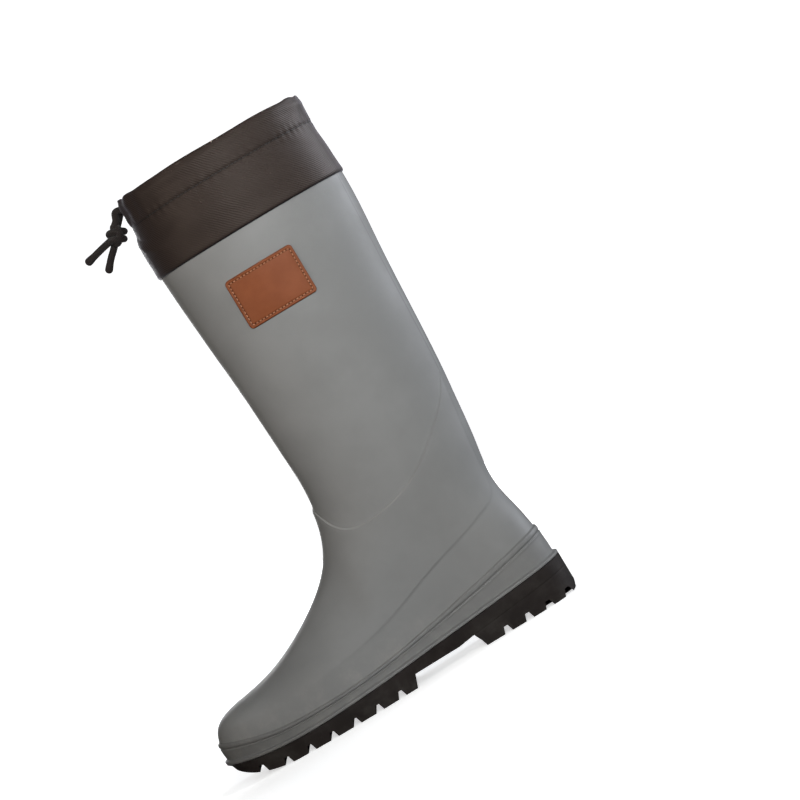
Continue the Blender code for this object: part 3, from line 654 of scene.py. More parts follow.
def rand_out(above, tall):
    """How far the rand stands off the foot at a height above its lip, for a rand of that height."""
    squeeze = rand_squeeze(tall)
    half = BEAD_HALF * squeeze
    bead_mid = tall - half + BEAD_LIFT
    bead = BEAD_OUT * np.sqrt(np.clip(1.0 - np.abs((above - bead_mid) / half) ** 3, 0.0, 1.0))
    groove_mid = bead_mid - half - GROOVE_TO_BEAD * squeeze
    rib_mid = groove_mid - RIB_TO_GROOVE * squeeze
    plain = BAND_FOOT + (BAND_TOP - BAND_FOOT) * np.clip(above / rib_mid, 0.0, 1.0)
    band = (plain + RIB_OUT * bell(above, rib_mid, RIB_HALF * squeeze)
            - GROOVE_IN * bell(above, groove_mid, GROOVE_HALF * squeeze))
    band = band * (1.0 - smoothstep(bead_mid, bead_mid + BEAD_EDGE, above))
    lip = LIP_OUT * (1.0 - smoothstep(*LIP_STEP, above))
    lip = lip - LIP_ROUND * np.clip(1.0 - above / LIP_ROUND_HEIGHT, 0.0, 1.0) ** 2
    return np.maximum(np.maximum(lip, bead), band)


print("Rand stands off by", round(float(rand_out(np.array(22.0), np.array(24.0))), 2), "mm at its bead")

# %% [markdown]
# Above the rand the moulding is divided into panels. The vamp panel ends at the shaft in a wide U with
# a proud ledge, and a back piece with the counter ends in a thin groove. Both edges are lists of points
# in the side view. Every mesh point keeps its distance from each edge: the mesh carries the soft part
# of the step, and the material sharpens it with that distance.

# %% Upper: panel edges
SHAFT_EDGE = ((-8.0, 213.0), (7.3, 187.9), (14.8, 173.8), (30.3, 157.2), (51.6, 139.7), (76.6, 126.4),
              (91.1, 122.6), (106.4, 120.6), (117.0, 121.2), (125.4, 124.6), (131.6, 131.0),
              (135.6, 139.0), (138.7, 148.0), (142.6, 160.0), (150.0, 183.0))
BACK_EDGE = ((-2.6, 364.0), (-1.8, 347.0), (1.4, 290.0), (5.0, 224.0), (7.6, 188.0), (10.9, 164.5),
             (13.9, 142.8), (16.6, 120.3), (17.4, 105.0), (19.3, 94.6), (23.4, 88.6), (33.1, 84.2),
             (47.4, 79.1), (75.4, 71.0), (104.3, 61.3), (133.1, 51.5), (147.6, 48.1), (182.4, 42.4),
             (211.0, 40.2), (240.0, 39.8), (262.0, 41.5), (300.0, 47.0))
EDGE_POINTS = 400


def edge_distance(edge, x, z):
    """Signed distance in the side view; positive on the left of the edge's direction."""
    here = np.stack((np.ravel(x), np.ravel(z)), axis=-1)
    best = np.full(len(here), np.inf)
    signed = np.zeros(len(here))
    for start, end in zip(edge[:-1], edge[1:]):
        run = end - start
        share = np.clip((here - start) @ run / (run @ run), 0.0, 1.0)
        away = here - start - share[:, None] * run
        distance = np.hypot(away[:, 0], away[:, 1])
        turn = run[0] * (here[:, 1] - start[1]) - run[1] * (here[:, 0] - start[0])
        closer = distance < best
        best = np.where(closer, distance, best)
        signed = np.where(closer, np.where(turn >= 0.0, distance, -distance), signed)
    return signed.reshape(np.shape(x))


shaft_edge = smooth_route(SHAFT_EDGE, EDGE_POINTS)
back_edge = smooth_route(BACK_EDGE, EDGE_POINTS)
print("Panel edges have", len(shaft_edge), "and", len(back_edge), "points")

# %% Upper: rows of the mesh
UPPER_COLUMNS = 320
UPPER_STEP = 2.1
INNER_STEP = 9.0
PROBE_COLUMNS = 25
STEP_HALF = 1.7
LEAST_SLOPE = 0.15


def body_levels(step):
    """Levels above the rand, spaced so that no two rows are further apart than the step."""
    probe = np.linspace(0.0, 2.0 * math.pi, PROBE_COLUMNS)
    top = float(level_at(RUBBER_EDGE_Z))
    coarse = np.append(np.arange(1.0, top), top)
    levels = [np.array((1.0,))]
    for low, high in zip(coarse[:-1], coarse[1:]):
        apart = np.linalg.norm(base_points(high, probe) - base_points(low, probe), axis=-1).max()
        levels.append(np.linspace(low, high, max(int(math.ceil(apart / step)), 1) + 1)[1:])
    return np.concatenate(levels)


def true_distance(distance, points):
    """Turn a distance in the side view into one along the curved surface."""
    def change(values, axis):
        if axis == 0:
            return np.gradient(values, axis=0)
        return np.roll(values, -1, axis) - np.roll(values, 1, axis)

    slopes = [change(distance, axis) / np.maximum(np.linalg.norm(change(points, axis), axis=-1), TINY)
              for axis in (0, 1)]
    return distance / np.clip(np.hypot(*slopes), LEAST_SLOPE, 1.0)


turns = full_turn(UPPER_COLUMNS)
guide_x = base_points(0.5, turns)[:, 0]
rand_tall = rand_height(guide_x) - lip_height(guide_x)
body_rows = np.repeat(body_levels(UPPER_STEP)[:, None], UPPER_COLUMNS, axis=1)
level_grid = np.concatenate((rand_heights(rand_tall) / (rand_tall + RAND_EASE), body_rows))
turn_grid = np.repeat(turns[None, :], len(level_grid), axis=0)
skin = base_points(level_grid, turn_grid)
skin_x, skin_y, skin_z = np.moveaxis(skin, -1, 0)
in_rand = level_grid < 1.0
to_shaft = true_distance(-edge_distance(shaft_edge, skin_x, skin_z), skin)
to_back = true_distance(edge_distance(back_edge, skin_x, skin_z), skin)
print("The upper's skin has", len(level_grid), "rows of", UPPER_COLUMNS, "points")

# %% [markdown]
# Now the relief is laid on. Each part of it is a height times soft limits, given as the place where it
# starts and the place where it is full: the vamp with its ledge, the strip up the back, the toe cap, a
# low crest along the back piece and one shallow crease above the ball of the foot.

# %% Upper: relief
VAMP_RISE = 0.5
VAMP_THIN = (150.0, 215.0)
VAMP_THIN_SHARE = 0.4
VAMP_END = (246.0, 262.0)
LEDGE_RISE = 1.4
LEDGE_BACK_SHARE = 0.55
LEDGE_FULL = (25.0, 112.0)
LEDGE_FADE = 14.0
STRIP_RISE = 0.35
STRIP_START = (160.0, 192.0)
CAP_RISE = 0.4
CAP_X = 256.0
CAP_BOW = 13.0
CAP_HALF_WIDTH = 45.0
CAP_STEP = 1.2
CAP_FOOT = (37.0, 44.0)
CAP_NOSE = (262.0, 284.0)
CAP_NOSE_SHARE = 0.6
CREST_RISE = 0.8
CREST_FADE = 7.0
CREST_START = (120.0, 190.0)
CREST_END = (252.0, 276.0)
CREASE_DEPTH = 0.35
CREASE_X = 164.0
CREASE_Z = 33.0
CREASE_LENGTH = 6.0
CREASE_HALF = 2.2
CREASE_SLOPE = 0.25
RELIEF_START = 4.0

below_shaft = smoothstep(-STEP_HALF, STEP_HALF, to_shaft)
ahead_back = smoothstep(-STEP_HALF, STEP_HALF, to_back)
ledge = LEDGE_RISE * (LEDGE_BACK_SHARE + (1.0 - LEDGE_BACK_SHARE) * smoothstep(*LEDGE_FULL, skin_x))
near_ledge = np.exp(-np.maximum(to_shaft, 0.0) / LEDGE_FADE)
rise = VAMP_RISE + (ledge - VAMP_RISE) * near_ledge
rise *= (1.0 - VAMP_THIN_SHARE * smoothstep(*VAMP_THIN, skin_x)) * (1.0 - smoothstep(*VAMP_END, skin_x))
vamp = rise * below_shaft * ahead_back
strip = STRIP_RISE * (1.0 - ahead_back) * smoothstep(*STRIP_START, skin_z)
to_cap = skin_x - CAP_X - CAP_BOW * ((skin_y - middle_y(skin_x)) / CAP_HALF_WIDTH) ** 2
cap_fade = smoothstep(*CAP_FOOT, skin_z) * (1.0 - smoothstep(*CAP_NOSE, skin_x) * CAP_NOSE_SHARE)
cap = CAP_RISE * smoothstep(-CAP_STEP, CAP_STEP, to_cap) * cap_fade
crest_rise = CREST_RISE * smoothstep(*CREST_START, skin_x) * (1.0 - smoothstep(*CREST_END, skin_x))
crest = crest_rise * np.exp(-np.abs(to_back) / CREST_FADE)
crease_z = CREASE_Z + CREASE_SLOPE * (skin_x - CREASE_X)
crease = CREASE_DEPTH * bell(skin_x, CREASE_X, CREASE_LENGTH) * bell(skin_z, crease_z, CREASE_HALF)
above_rand = smoothstep(0.0, RELIEF_START, skin_z - rand_height(skin_x))
relief = (vamp + strip + cap + crest - crease) * above_rand
rand_part = rand_out(level_grid * (rand_tall + RAND_EASE), rand_tall)
outer = form_points(level_grid, turn_grid, np.where(in_rand, rand_part, relief))
print("The relief stands up to", round(float(relief.max()), 2), "mm proud")

# %% Upper: mesh and kept distances
EDGE_INSET = 0.5
FAR_OFF = 50.0
RAND_SHADE_TOE = (150.0, 270.0)

inner_levels = np.concatenate(([level_at(RUBBER_EDGE_Z)], body_levels(INNER_STEP)[::-1], [0.5, 0.0]))
inner_out = np.full((len(inner_levels), UPPER_COLUMNS), -WALL)
inner_out[0] *= EDGE_INSET
inner = form_points(inner_levels[:, None], turns[None, :], inner_out)
rings = np.concatenate((outer, inner))
upper = make_piece("upper_skin", rings.reshape(-1, 3), ring_quads(len(rings), UPPER_COLUMNS, closed=True))
# Painted shade on the rand: its colour darkens towards the toe.
soiled = np.where(in_rand, 0.5 + 0.5 * smoothstep(*RAND_SHADE_TOE, skin_x), 0.0)
for name, values, inside in (("to_shaft", to_shaft, FAR_OFF), ("to_back", to_back, FAR_OFF),
                             ("rise", rise * above_rand, 0.0), ("soiled", soiled, 0.0)):
    store(upper, name, np.concatenate((values, np.full(inner.shape[:2], inside))))
lined = np.zeros((len(rings), UPPER_COLUMNS), dtype=int)
lined[len(outer):-1] = 1
upper.data.polygons.foreach_set("material_index", lined.ravel())
print("The upper has", len(rings), "rings and", 2 * len(upper.data.polygons), "triangles")

# %% [markdown]
# The outsole closes the foot from below. Its lugs could be cut with booleans, but a sole is easier to
# build across: stations along the foot carry a row of points on top and one underneath, and each cell
# either grows a lug down to the floor or stays a groove. A bevel rounds every edge of the rubber.

# %% Outsole: stations along the foot
LUG_DEPTH = 5.2
GROOVE_TOP = 3.0
GROOVE_FOOT = 6.4
CHANNEL_DRAFT = 1.0
TOE_SPRING_START = 235.0
TOE_SPRING_RISE = 15.0
HEEL_BEVEL_START = 16.0
HEEL_BEVEL_RISE = 1.6
HEEL_BREAST = 81.5
HEEL_BREAST_TOP = 84.5
ARCH_START = 98.0
ARCH_END = 135.0
FOREFOOT_START = 137.0
ARCH_HEIGHT = 9.4
BREAST_RISE = 1.8
HEEL_GROOVES = (12.0, 27.3, 43.7, 61.6)
FIRST_GROOVE = 151.3
GROOVE_PITCH = 18.6
FOREFOOT_GROOVES = tuple(FIRST_GROOVE + GROOVE_PITCH * i for i in range(7))
STRIP_EDGES = (0.0, 0.29, 0.34, 0.66, 0.71, 1.0)
TOE_TUCK = 2.5
TOE_TUCK_START = 262.0
LUG_TUCK = 4.5
HEEL_TUCK = 1.6
HEEL_TUCK_END = 9.0
ARCH_TUCK = 1.5
END_STEPS = (0.15, 0.6, 1.4)
STATION_STEP = 3.0
Station = namedtuple("Station", "x z lug_ahead")


def floor_clearance(x):
    """How far the tread lifts off the floor: toe spring in front, a bevel at the back of the heel."""
    toe = max(x - TOE_SPRING_START, 0.0) / (TOE_TIP_X - TOE_SPRING_START)
    heel = max(HEEL_BEVEL_START - x, 0.0) / HEEL_BEVEL_START
    return TOE_SPRING_RISE * toe ** 2 + HEEL_BEVEL_RISE * heel ** 2


def under_height(station):
    if station.z is not None:
        return station.z
    return floor_clearance(station.x) + LUG_DEPTH


def tread_stations():
    """Places where the underside changes, from heel to toe, with more in between for a smooth outline."""
    half = GROOVE_TOP / 2.0
    heel_end, toe_end = RING_BACK_X[0], RING_FRONT_X[0]
    marks = [Station(heel_end + step, None, True) for step in END_STEPS]
    for groove in HEEL_GROOVES + FOREFOOT_GROOVES:
        marks += [Station(groove - half, None, False), Station(groove + half, None, True)]
    marks += [Station(HEEL_BREAST, None, False), Station(HEEL_BREAST_TOP, ARCH_HEIGHT + BREAST_RISE, False),
              Station(ARCH_START, ARCH_HEIGHT, False), Station(ARCH_END, ARCH_HEIGHT, False),
              Station(FOREFOOT_START, None, True)]
    marks += [Station(toe_end - step, None, step != END_STEPS[0]) for step in END_STEPS]
    marks.sort(key=lambda mark: mark.x)
    stations = []
    for mark, following in zip(marks, marks[1:]):
        parts = max(int(math.ceil((following.x - mark.x) / STATION_STEP)), 1)
        for i in range(parts):
            share = i / parts
            x = mark.x + share * (following.x - mark.x)
            on_arch = mark.z is not None or following.z is not None
            z = under_height(mark) + share * (under_height(following) - under_height(mark))
            stations.append(Station(x, z if on_arch and (i or mark.z) else mark.z, mark.lug_ahead))
    return stations + [marks[-1]]


print("The tread has", len(tread_stations()), "stations")

# %% Outsole: mesh
@lru_cache(maxsize=None)
def sole_edge(x, outer, out):
    """A point of the sole's outline beside x, moved out level from the foot's form."""
    along = min(max((x - RING_BACK_X[0]) / (RING_FRONT_X[0] - RING_BACK_X[0]), 0.0), 1.0)
    turn = math.acos(1.0 - 2.0 * along)
    turn = turn if outer else 2.0 * math.pi - turn
    return form_points(np.array([0.0]), np.array([turn]), np.array([out]))[0]


def sole_row(x, z, out):
    """Points across the sole at one station, from the outer edge to the inner edge."""
    first, last = sole_edge(x, True, out), sole_edge(x, False, out)
    row = first + np.outer(STRIP_EDGES, last - first)
    row[:, 2] = z
    return row


def make_outsole():
    """The sole as one mesh: a top, an underside and a lug on every cell that carries one."""
    stations = tread_stations()
    strips = len(STRIP_EDGES) - 1
    points, faces, top, under = [], [], [], []

    def add(point):
        points.append(np.array(point))
        return len(points) - 1

    for station in stations:
        tuck = TOE_TUCK * float(smoothstep(TOE_TUCK_START, TOE_TIP_X, station.x))
        tuck += ARCH_TUCK if station.z is not None else 0.0
        top.append([add(p) for p in sole_row(station.x, float(lip_height(station.x)) - GAP, LIP_OUT)])
        under.append([add(p) for p in sole_row(station.x, under_height(station), LIP_OUT - tuck)])

    def is_lug(cell, strip):
        if not 0 <= cell < len(stations) - 1 or not 0 <= strip < strips:
            return False
        middle = (stations[cell].x + stations[cell + 1].x) / 2.0
        closed = any(abs(middle - groove) < GROOVE_TOP / 2.0 for groove in HEEL_GROOVES[:2])
        return (strip % 2 == 0 and stations[cell].lug_ahead) or (strip == strips // 2 and closed)

    def lug_foot(cell, strip, at_front, at_inner):
        """Foot of one corner of a lug: drawn in where it faces a groove or a channel."""
        beyond = cell + 1 if at_front else cell - 1
        draft = (GROOVE_FOOT - GROOVE_TOP) / 2.0
        faces_groove = 0 <= beyond < len(stations) - 1 and not is_lug(beyond, strip)
        x = stations[cell + at_front].x + ((-draft if at_front else draft) if faces_groove else 0.0)
        tuck = LUG_TUCK * float(smoothstep(TOE_TUCK_START, TOE_TIP_X, x))
        tuck += HEEL_TUCK * (1.0 - float(smoothstep(RING_BACK_X[0], HEEL_TUCK_END, x)))
        point = sole_row(x, floor_clearance(x), LIP_OUT - tuck)[strip + at_inner]
        if strip + at_inner not in (0, strips):
            point[1] += CHANNEL_DRAFT if at_inner else -CHANNEL_DRAFT
        return point

    def cell_corners(grid, cell, strip):
        return [grid[cell][strip], grid[cell + 1][strip], grid[cell + 1][strip + 1], grid[cell][strip + 1]]

    for cell in range(len(stations) - 1):
        for strip in range(strips):
            corners = cell_corners(under, cell, strip)
            faces.append(cell_corners(top, cell, strip))
            if not is_lug(cell, strip):
                faces.append(corners)
                continue
            feet = [add(lug_foot(cell, strip, *corner)) for corner in ((0, 0), (1, 0), (1, 1), (0, 1))]
            faces.append(feet)
            neighbours = ((cell, strip - 1), (cell + 1, strip), (cell, strip + 1), (cell - 1, strip))
            for i, neighbour in enumerate(neighbours):
                if not is_lug(*neighbour):
                    after = (i + 1) % 4
                    faces.append([corners[i], corners[after], feet[after], feet[i]])
        for edge in (0, strips):
            faces.append([top[cell][edge], top[cell + 1][edge], under[cell + 1][edge], under[cell][edge]])
    for end in (0, len(stations) - 1):
        for strip in range(strips):
            faces.append([top[end][strip], top[end][strip + 1], under[end][strip + 1], under[end][strip]])
    return make_piece("outsole_tread", points, faces)


outsole = make_outsole()
print("The outsole has", len(outsole.data.polygons), "faces before its bevel")

# %% Outsole: rounded edges
MERGE_DISTANCE = 0.02
SOLE_BEVEL = 0.7
BEVEL_ANGLE = 38.0

work = bmesh.new()
work.from_mesh(outsole.data)
bmesh.ops.remove_doubles(work, verts=work.verts, dist=MERGE_DISTANCE * MM)
bmesh.ops.recalc_face_normals(work, faces=work.faces)
if work.calc_volume(signed=True) < 0.0:
    bmesh.ops.reverse_faces(work, faces=work.faces)
work.to_mesh(outsole.data)
work.free()
bevel = outsole.modifiers.new("rounded edges", "BEVEL")
bevel.width = SOLE_BEVEL * MM
bevel.segments = 2
bevel.limit_method = "ANGLE"
bevel.angle_limit = math.radians(BEVEL_ANGLE)
bevel.harden_normals = True
print("The outsole's edges are rounded by", SOLE_BEVEL, "mm")

# %% [markdown]
# The insole lies on the sole inside the foot, and is only seen from above through the mouth of the
# boot. It is a thin pad with a rounded edge, slightly hollow at the heel, made as rings that shrink
# towards the foot's middle line.

# %% Insole
INSOLE_INSET = 3.3
INSOLE_THICKNESS = 4.0
INSOLE_COLUMNS = 120
INSOLE_HOLLOW = 0.8
HOLLOW_SPREAD = (0.1, 0.9)
SPINE_HEEL = 30.0
SPINE_TOE = 35.0
# How far each ring lies towards the middle line, and its share of the thickness
INSOLE_RINGS = ((0.5, 0.0), (0.02, 0.0), (0.0, 0.3), (0.0, 0.75), (0.015, 0.93), (0.05, 1.0),
                (0.2, 1.0), (0.4, 1.0), (0.6, 1.0), (0.8, 1.0), (1.0, 1.0))

rim = form_points(0.0, full_turn(INSOLE_COLUMNS), np.full(INSOLE_COLUMNS, -INSOLE_INSET))
spine = rim.copy()
spine[:, 0] = np.clip(rim[:, 0], rim[:, 0].min() + SPINE_HEEL, rim[:, 0].max() - SPINE_TOE)
spine[:, 1] = middle_y(rim[:, 0])
insole_rings = []
for inward, height in INSOLE_RINGS:
    ring = rim + (spine - rim) * inward
    hollow = INSOLE_HOLLOW * smoothstep(*HOLLOW_SPREAD, inward) * height
    ring[:, 2] = lip_height(ring[:, 0]) + GAP + INSOLE_THICKNESS * height - hollow
    insole_rings.append(ring)
insole = make_piece("insole_pad", np.concatenate(insole_rings), ring_quads(len(INSOLE_RINGS), INSOLE_COLUMNS))
print("The insole has", len(insole.data.polygons), "faces")

# %% [markdown]
# The gaiter is a fitted sleeve of coated cloth with a cord channel along its mouth. A cloth simulation
# would suit a loose drape, but this sleeve is held all round by the rubber, so its few folds are listed
# one by one: pleats where the cord gathers the front, a pinched seam below the channel, and soft bulges.

# %% Gaiter: folds
GAITER_COLUMNS = 320
GAITER_LOW = 347.0
GAITER_HIGH = 411.5
GAITER_WALL = 1.5
SEAM_Z = 389.5
SleeveRow = namedtuple("SleeveRow", "name z slack")
SLEEVE = (
    SleeveRow("hem", 347.0, 0.35),
    SleeveRow("overlap", 358.5, 0.4),
    SleeveRow("belly", 371.0, 0.6),
    SleeveRow("pinch", 388.5, 0.2),
    SleeveRow("channel", 400.0, 0.9),
    SleeveRow("mouth", 411.5, 0.3),
)
Fold = namedtuple("Fold", "name turn z wide tall lean depth")
FOLDS = (
    Fold("front_ridge", 2.85, 371.5, 0.32, 4.0, 6.5, 1.1),
    Fold("front_hollow", 2.95, 384.5, 0.40, 6.5, 7.0, -1.7),
    Fold("break_ridge", 2.12, 380.0, 0.16, 26.0, 0.0, 0.6),
    Fold("front_quarter", 2.72, 388.0, 0.40, 16.0, 0.0, -1.7),
    Fold("side_trough", 2.25, 377.0, 0.45, 5.0, -8.0, -0.5),
    Fold("side_swell", 1.75, 368.0, 0.50, 8.0, 0.0, 0.5),
    Fold("back_trough", 0.75, 379.0, 0.35, 5.0, 9.0, -0.5),
    Fold("back_corner", 0.32, 404.0, 0.16, 5.0, 0.0, 0.9),
    Fold("back_dip", 0.62, 402.0, 0.14, 6.0, 0.0, -0.7),
    Fold("inner_ridge", 3.6, 378.0, 0.30, 5.0, 8.0, 0.8),
    Fold("inner_trough", 4.4, 372.0, 0.45, 6.0, -6.0, -0.6),
    Fold("inner_back", 5.5, 380.0, 0.35, 6.0, 6.0, 0.6),
)
BandRow = namedtuple("BandRow", "name z half out")
BANDS = (
    BandRow("seam_dip", SEAM_Z, 1.0, -0.5),
    BandRow("hem_roll", GAITER_LOW + 3.0, 2.5, 0.3),
    BandRow("cord_roll", 406.0, 3.0, 0.5),
)
FRONT_BAND = BandRow("front_dip", 399.0, 3.2, -0.6)
FRONT_START = (1.3, 2.3)
FRONT_END = (4.0, 5.0)
PLEAT_OUT = 0.8
PLEAT_SPREAD = 0.55
PLEAT_HEIGHTS = (376.0, 392.0)
PUCKER_OUT = 0.22
PUCKER_HALF = 4.5
PUCKER_FRONT_LOSS = 0.7
# Waves once round: their number, and how far and how often they drift
PLEATS = (21.0, 0.6, 5.0)
PUCKERS = (62.0, 1.3, 9.0)

sleeve_slack = column(SLEEVE, "z", "slack")


def drifting(turn, number, drift, often):
    """Waves round the sleeve that aren't quite even."""
    return np.sin(number * turn + drift * np.sin(often * turn))


def gaiter_out(turn, z):
    """How far the cloth's outer face stands off the leg's form."""
    out = sleeve_slack(z) + GAITER_WALL
    for row in BANDS:
        out = out + row.out * bell(z, row.z, row.half)
    front_half = smoothstep(*FRONT_START, turn) * (1.0 - smoothstep(*FRONT_END, turn))
    out = out + FRONT_BAND.out * front_half * bell(z, FRONT_BAND.z, FRONT_BAND.half)
    front = bell(turn, math.pi, PLEAT_SPREAD)
    out = out + PLEAT_OUT * front * smoothstep(*PLEAT_HEIGHTS, z) * drifting(turn, *PLEATS)
    pucker = PUCKER_OUT * bell(z, SEAM_Z, PUCKER_HALF) * (1.0 - PUCKER_FRONT_LOSS * front)
    out = out + pucker * drifting(turn, *PUCKERS)
    for row in FOLDS:
        across = (turn - row.turn) / row.wide
        along = (z - row.z - row.lean * across) / row.tall
        out = out + row.depth * np.exp(-across ** 2 - along ** 2)
    return out


print("The gaiter has", len(FOLDS), "folds placed by hand")

# %% Gaiter: mesh
FACE_ROWS = 72
INSIDE_ROWS = 30
BELT_ROW = 30
LEAST_OUT = 0.25
# Rows that are drawn in, so that the hem and the mouth look folded over
ROLLED = ((0, 0.75), (1, 0.15), (FACE_ROWS - 2, 0.12), (FACE_ROWS - 1, 0.6), (FACE_ROWS, 1.0), (-1, 1.15))
MouthRow = namedtuple("MouthRow", "name turn half rise")
MOUTH = (
    MouthRow("back_high", 0.44, 0.1, 0.9),
    MouthRow("back_low", 0.26, 0.09, -0.7),
    MouthRow("front_tip", 3.0, 0.07, 1.2),
)
GATHER_RISE = 0.7
GATHER_SPREAD = 0.6
GATHERS = 17.0
MOUTH_WAVE = 0.25
MOUTH_WAVES = 7.0


def mouth_height(turn):
    """The cloth's top edge waves a little, most where the cord gathers it."""
    gathers = GATHER_RISE * bell(turn, math.pi, GATHER_SPREAD) * np.sin(GATHERS * turn)
    bumps = sum(row.rise * bell(turn, row.turn, row.half) for row in MOUTH)
    return GAITER_HIGH + gathers + bumps + MOUTH_WAVE * np.sin(MOUTH_WAVES * turn + 1.0)


sleeve_turns = full_turn(GAITER_COLUMNS)
shares = np.concatenate((np.linspace(0.0, 1.0, FACE_ROWS), np.linspace(1.0, 0.0, INSIDE_ROWS)))
depths = np.concatenate((np.zeros(FACE_ROWS), np.full(INSIDE_ROWS, GAITER_WALL)))
for row, depth in ROLLED:
    depths[row] = depth
tall = mouth_height(sleeve_turns) - GAITER_LOW
sleeve_z = GAITER_LOW + np.outer(shares, tall)
sleeve_turn = np.repeat(sleeve_turns[None, :], len(shares), axis=0)
sleeve_out = gaiter_out(sleeve_turn, sleeve_z) - depths[:, None]
sleeve_out[FACE_ROWS:] = np.maximum(sleeve_out[FACE_ROWS:], LEAST_OUT)
sleeve = form_points(level_at(sleeve_z), sleeve_turn, sleeve_out)
belt = distance_along(np.concatenate((sleeve[BELT_ROW], sleeve[BELT_ROW][:1])))
sleeve_u = np.repeat(belt[None, :], len(shares) + 1, axis=0)
sleeve_v = np.pad(sleeve_z, ((0, 1), (0, 1)), mode="wrap")
sleeve_faces = ring_quads(len(shares), GAITER_COLUMNS, closed=True)
gaiter = make_piece("gaiter_sleeve", sleeve.reshape(-1, 3), sleeve_faces, ring_uv(sleeve_u, sleeve_v))
print("The gaiter is", round(belt[-1]), "mm round and", round(float(tall.mean()), 1), "mm tall")

# %% [markdown]
# A stitch is a short piece of thread that rises between two holes. Hundreds of small capsules in one
# mesh show that better than a painted line. One function lays them along any row of places.

# %% Stitches
STITCH_SIDES = 8
STITCH_STEPS = 7
STITCH_BLUNT = 0.6
SEAM_PITCH = 3.3
SEAM_LIFT = 0.05
SEAM_BESIDE = 0.01
Seam = namedtuple("Seam", "length width height")
CHANNEL_STITCH = Seam(2.5, 0.6, 0.5)


def make_stitches(name, places, ahead, normal, seam):
    """Small capsules at the places, along the ahead directions and standing on the normals."""
    lean = np.linspace(-0.5 * math.pi, 0.5 * math.pi, STITCH_STEPS + 2)[None, 1:-1, None, None]
    spin = full_turn(STITCH_SIDES)[None, None, :, None]
    middle, onward, across, upward = (vectors[:, None, None, :]
                                      for vectors in (places, ahead, np.cross(normal, ahead), normal))
    section = np.cos(spin) * seam.width / 2.0 * across + np.sin(spin) * seam.height / 2.0 * upward
    body = middle + np.sin(lean) * seam.length / 2.0 * onward + np.cos(lean) ** STITCH_BLUNT * section
    capsule = ring_quads(STITCH_STEPS, STITCH_SIDES) + ring_caps(STITCH_STEPS, STITCH_SIDES)
    faces = [[corner + i * STITCH_STEPS * STITCH_SIDES for corner in face]
             for i in range(len(places)) for face in capsule]
    return make_piece(name, body.reshape(-1, 3), faces)


def on_seam(beside, lift):
    """Places along the channel's seam, shifted along it by an angle and lifted off the cloth."""
    return form_points(seam_level, seam_turns + beside, seam_out + lift)


seam_count = int(round(belt[-1] / SEAM_PITCH))
seam_turns = np.interp((np.arange(seam_count) + 0.5) * belt[-1] / seam_count, belt,
                       np.append(sleeve_turns, 2.0 * math.pi))
seam_level = level_at(np.full(seam_count, SEAM_Z))
seam_out = gaiter_out(seam_turns, np.full(seam_count, SEAM_Z))
seam_ahead = unit(on_seam(SEAM_BESIDE, 0.0) - on_seam(-SEAM_BESIDE, 0.0))
seam_normal = unit(on_seam(0.0, 1.0) - on_seam(0.0, 0.0))
channel_stitches = make_stitches("channel_stitches", on_seam(0.0, SEAM_LIFT), seam_ahead, seam_normal,
                                 CHANNEL_STITCH)
print("The channel seam has", seam_count, "stitches")

# %% [markdown]
# The leather patch is sewn to the outer side of the shaft and stays bare. Its mesh is a fine grid laid
# over the shaft: the edge rolls down in a quarter round, a shallow channel carries the thread, and a
# dimple marks every needle hole.

# %% Patch: outline and thread
PATCH_WIDTH = 55.0
PATCH_HEIGHT = 39.0
PATCH_CORNER = 3.0
PATCH_THICKNESS = 1.5
PATCH_CENTRE_X = 80.2
PATCH_CENTRE_Z = 300.7
THREAD_INSET = 2.7
THREAD_CORNER = 1.2
THREAD_PITCH = 2.75
CORNER_STEPS = 6


def inside_patch(x, z, inset=0.0, corner=PATCH_CORNER):
    """Distance inwards from the patch's edge, or from a line inset from it."""
    far_x = np.abs(x) - (PATCH_WIDTH / 2.0 - inset - corner)
    far_z = np.abs(z) - (PATCH_HEIGHT / 2.0 - inset - corner)
    outside = np.hypot(np.maximum(far_x, 0.0), np.maximum(far_z, 0.0))
    return corner - outside - np.minimum(np.maximum(far_x, far_z), 0.0)


def thread_line():
    """Evenly spaced stitches along the rounded rectangle that the thread follows, and the holes between."""
    half_x = PATCH_WIDTH / 2.0 - THREAD_INSET - THREAD_CORNER
    half_z = PATCH_HEIGHT / 2.0 - THREAD_INSET - THREAD_CORNER
    line = []
    for quarter, (side_x, side_z) in enumerate(((1, 1), (-1, 1), (-1, -1), (1, -1))):
        for step in range(CORNER_STEPS + 1):
            angle = (quarter + step / CORNER_STEPS) * 0.5 * math.pi
            line.append((side_x * half_x + THREAD_CORNER * math.cos(angle),
                         side_z * half_z + THREAD_CORNER * math.sin(angle)))
    line = np.array(line + line[:1])
    along = distance_along(line)
    count = int(round(along[-1] / THREAD_PITCH))
    at = np.arange(2 * count) * 0.5 * along[-1] / count
    walk = np.stack([np.interp(at, along, values) for values in line.T], axis=-1)
    return walk[0::2], walk[1::2]


stitch_spots, hole_spots = thread_line()
print("The thread makes", len(stitch_spots), "stitches round the patch")

# %% Patch: mesh
PATCH_ROLL = 1.0
PATCH_CELL = 0.42
GRID_BEND = 1.25
THREAD_CHANNEL = 0.28
CHANNEL_SPREAD = 0.8
HOLE_DEPTH = 0.5
HOLE_SPREAD = 0.45
CROWN_RISE = 0.15
CROWN_SPREAD = (3.5, 9.0)
REAR_OUT = GAP - 0.1


def crowded(count):
    """Places from -1 to 1, closer together towards both ends."""
    return np.sin(np.linspace(-1.0, 1.0, count) * GRID_BEND) / math.sin(GRID_BEND)


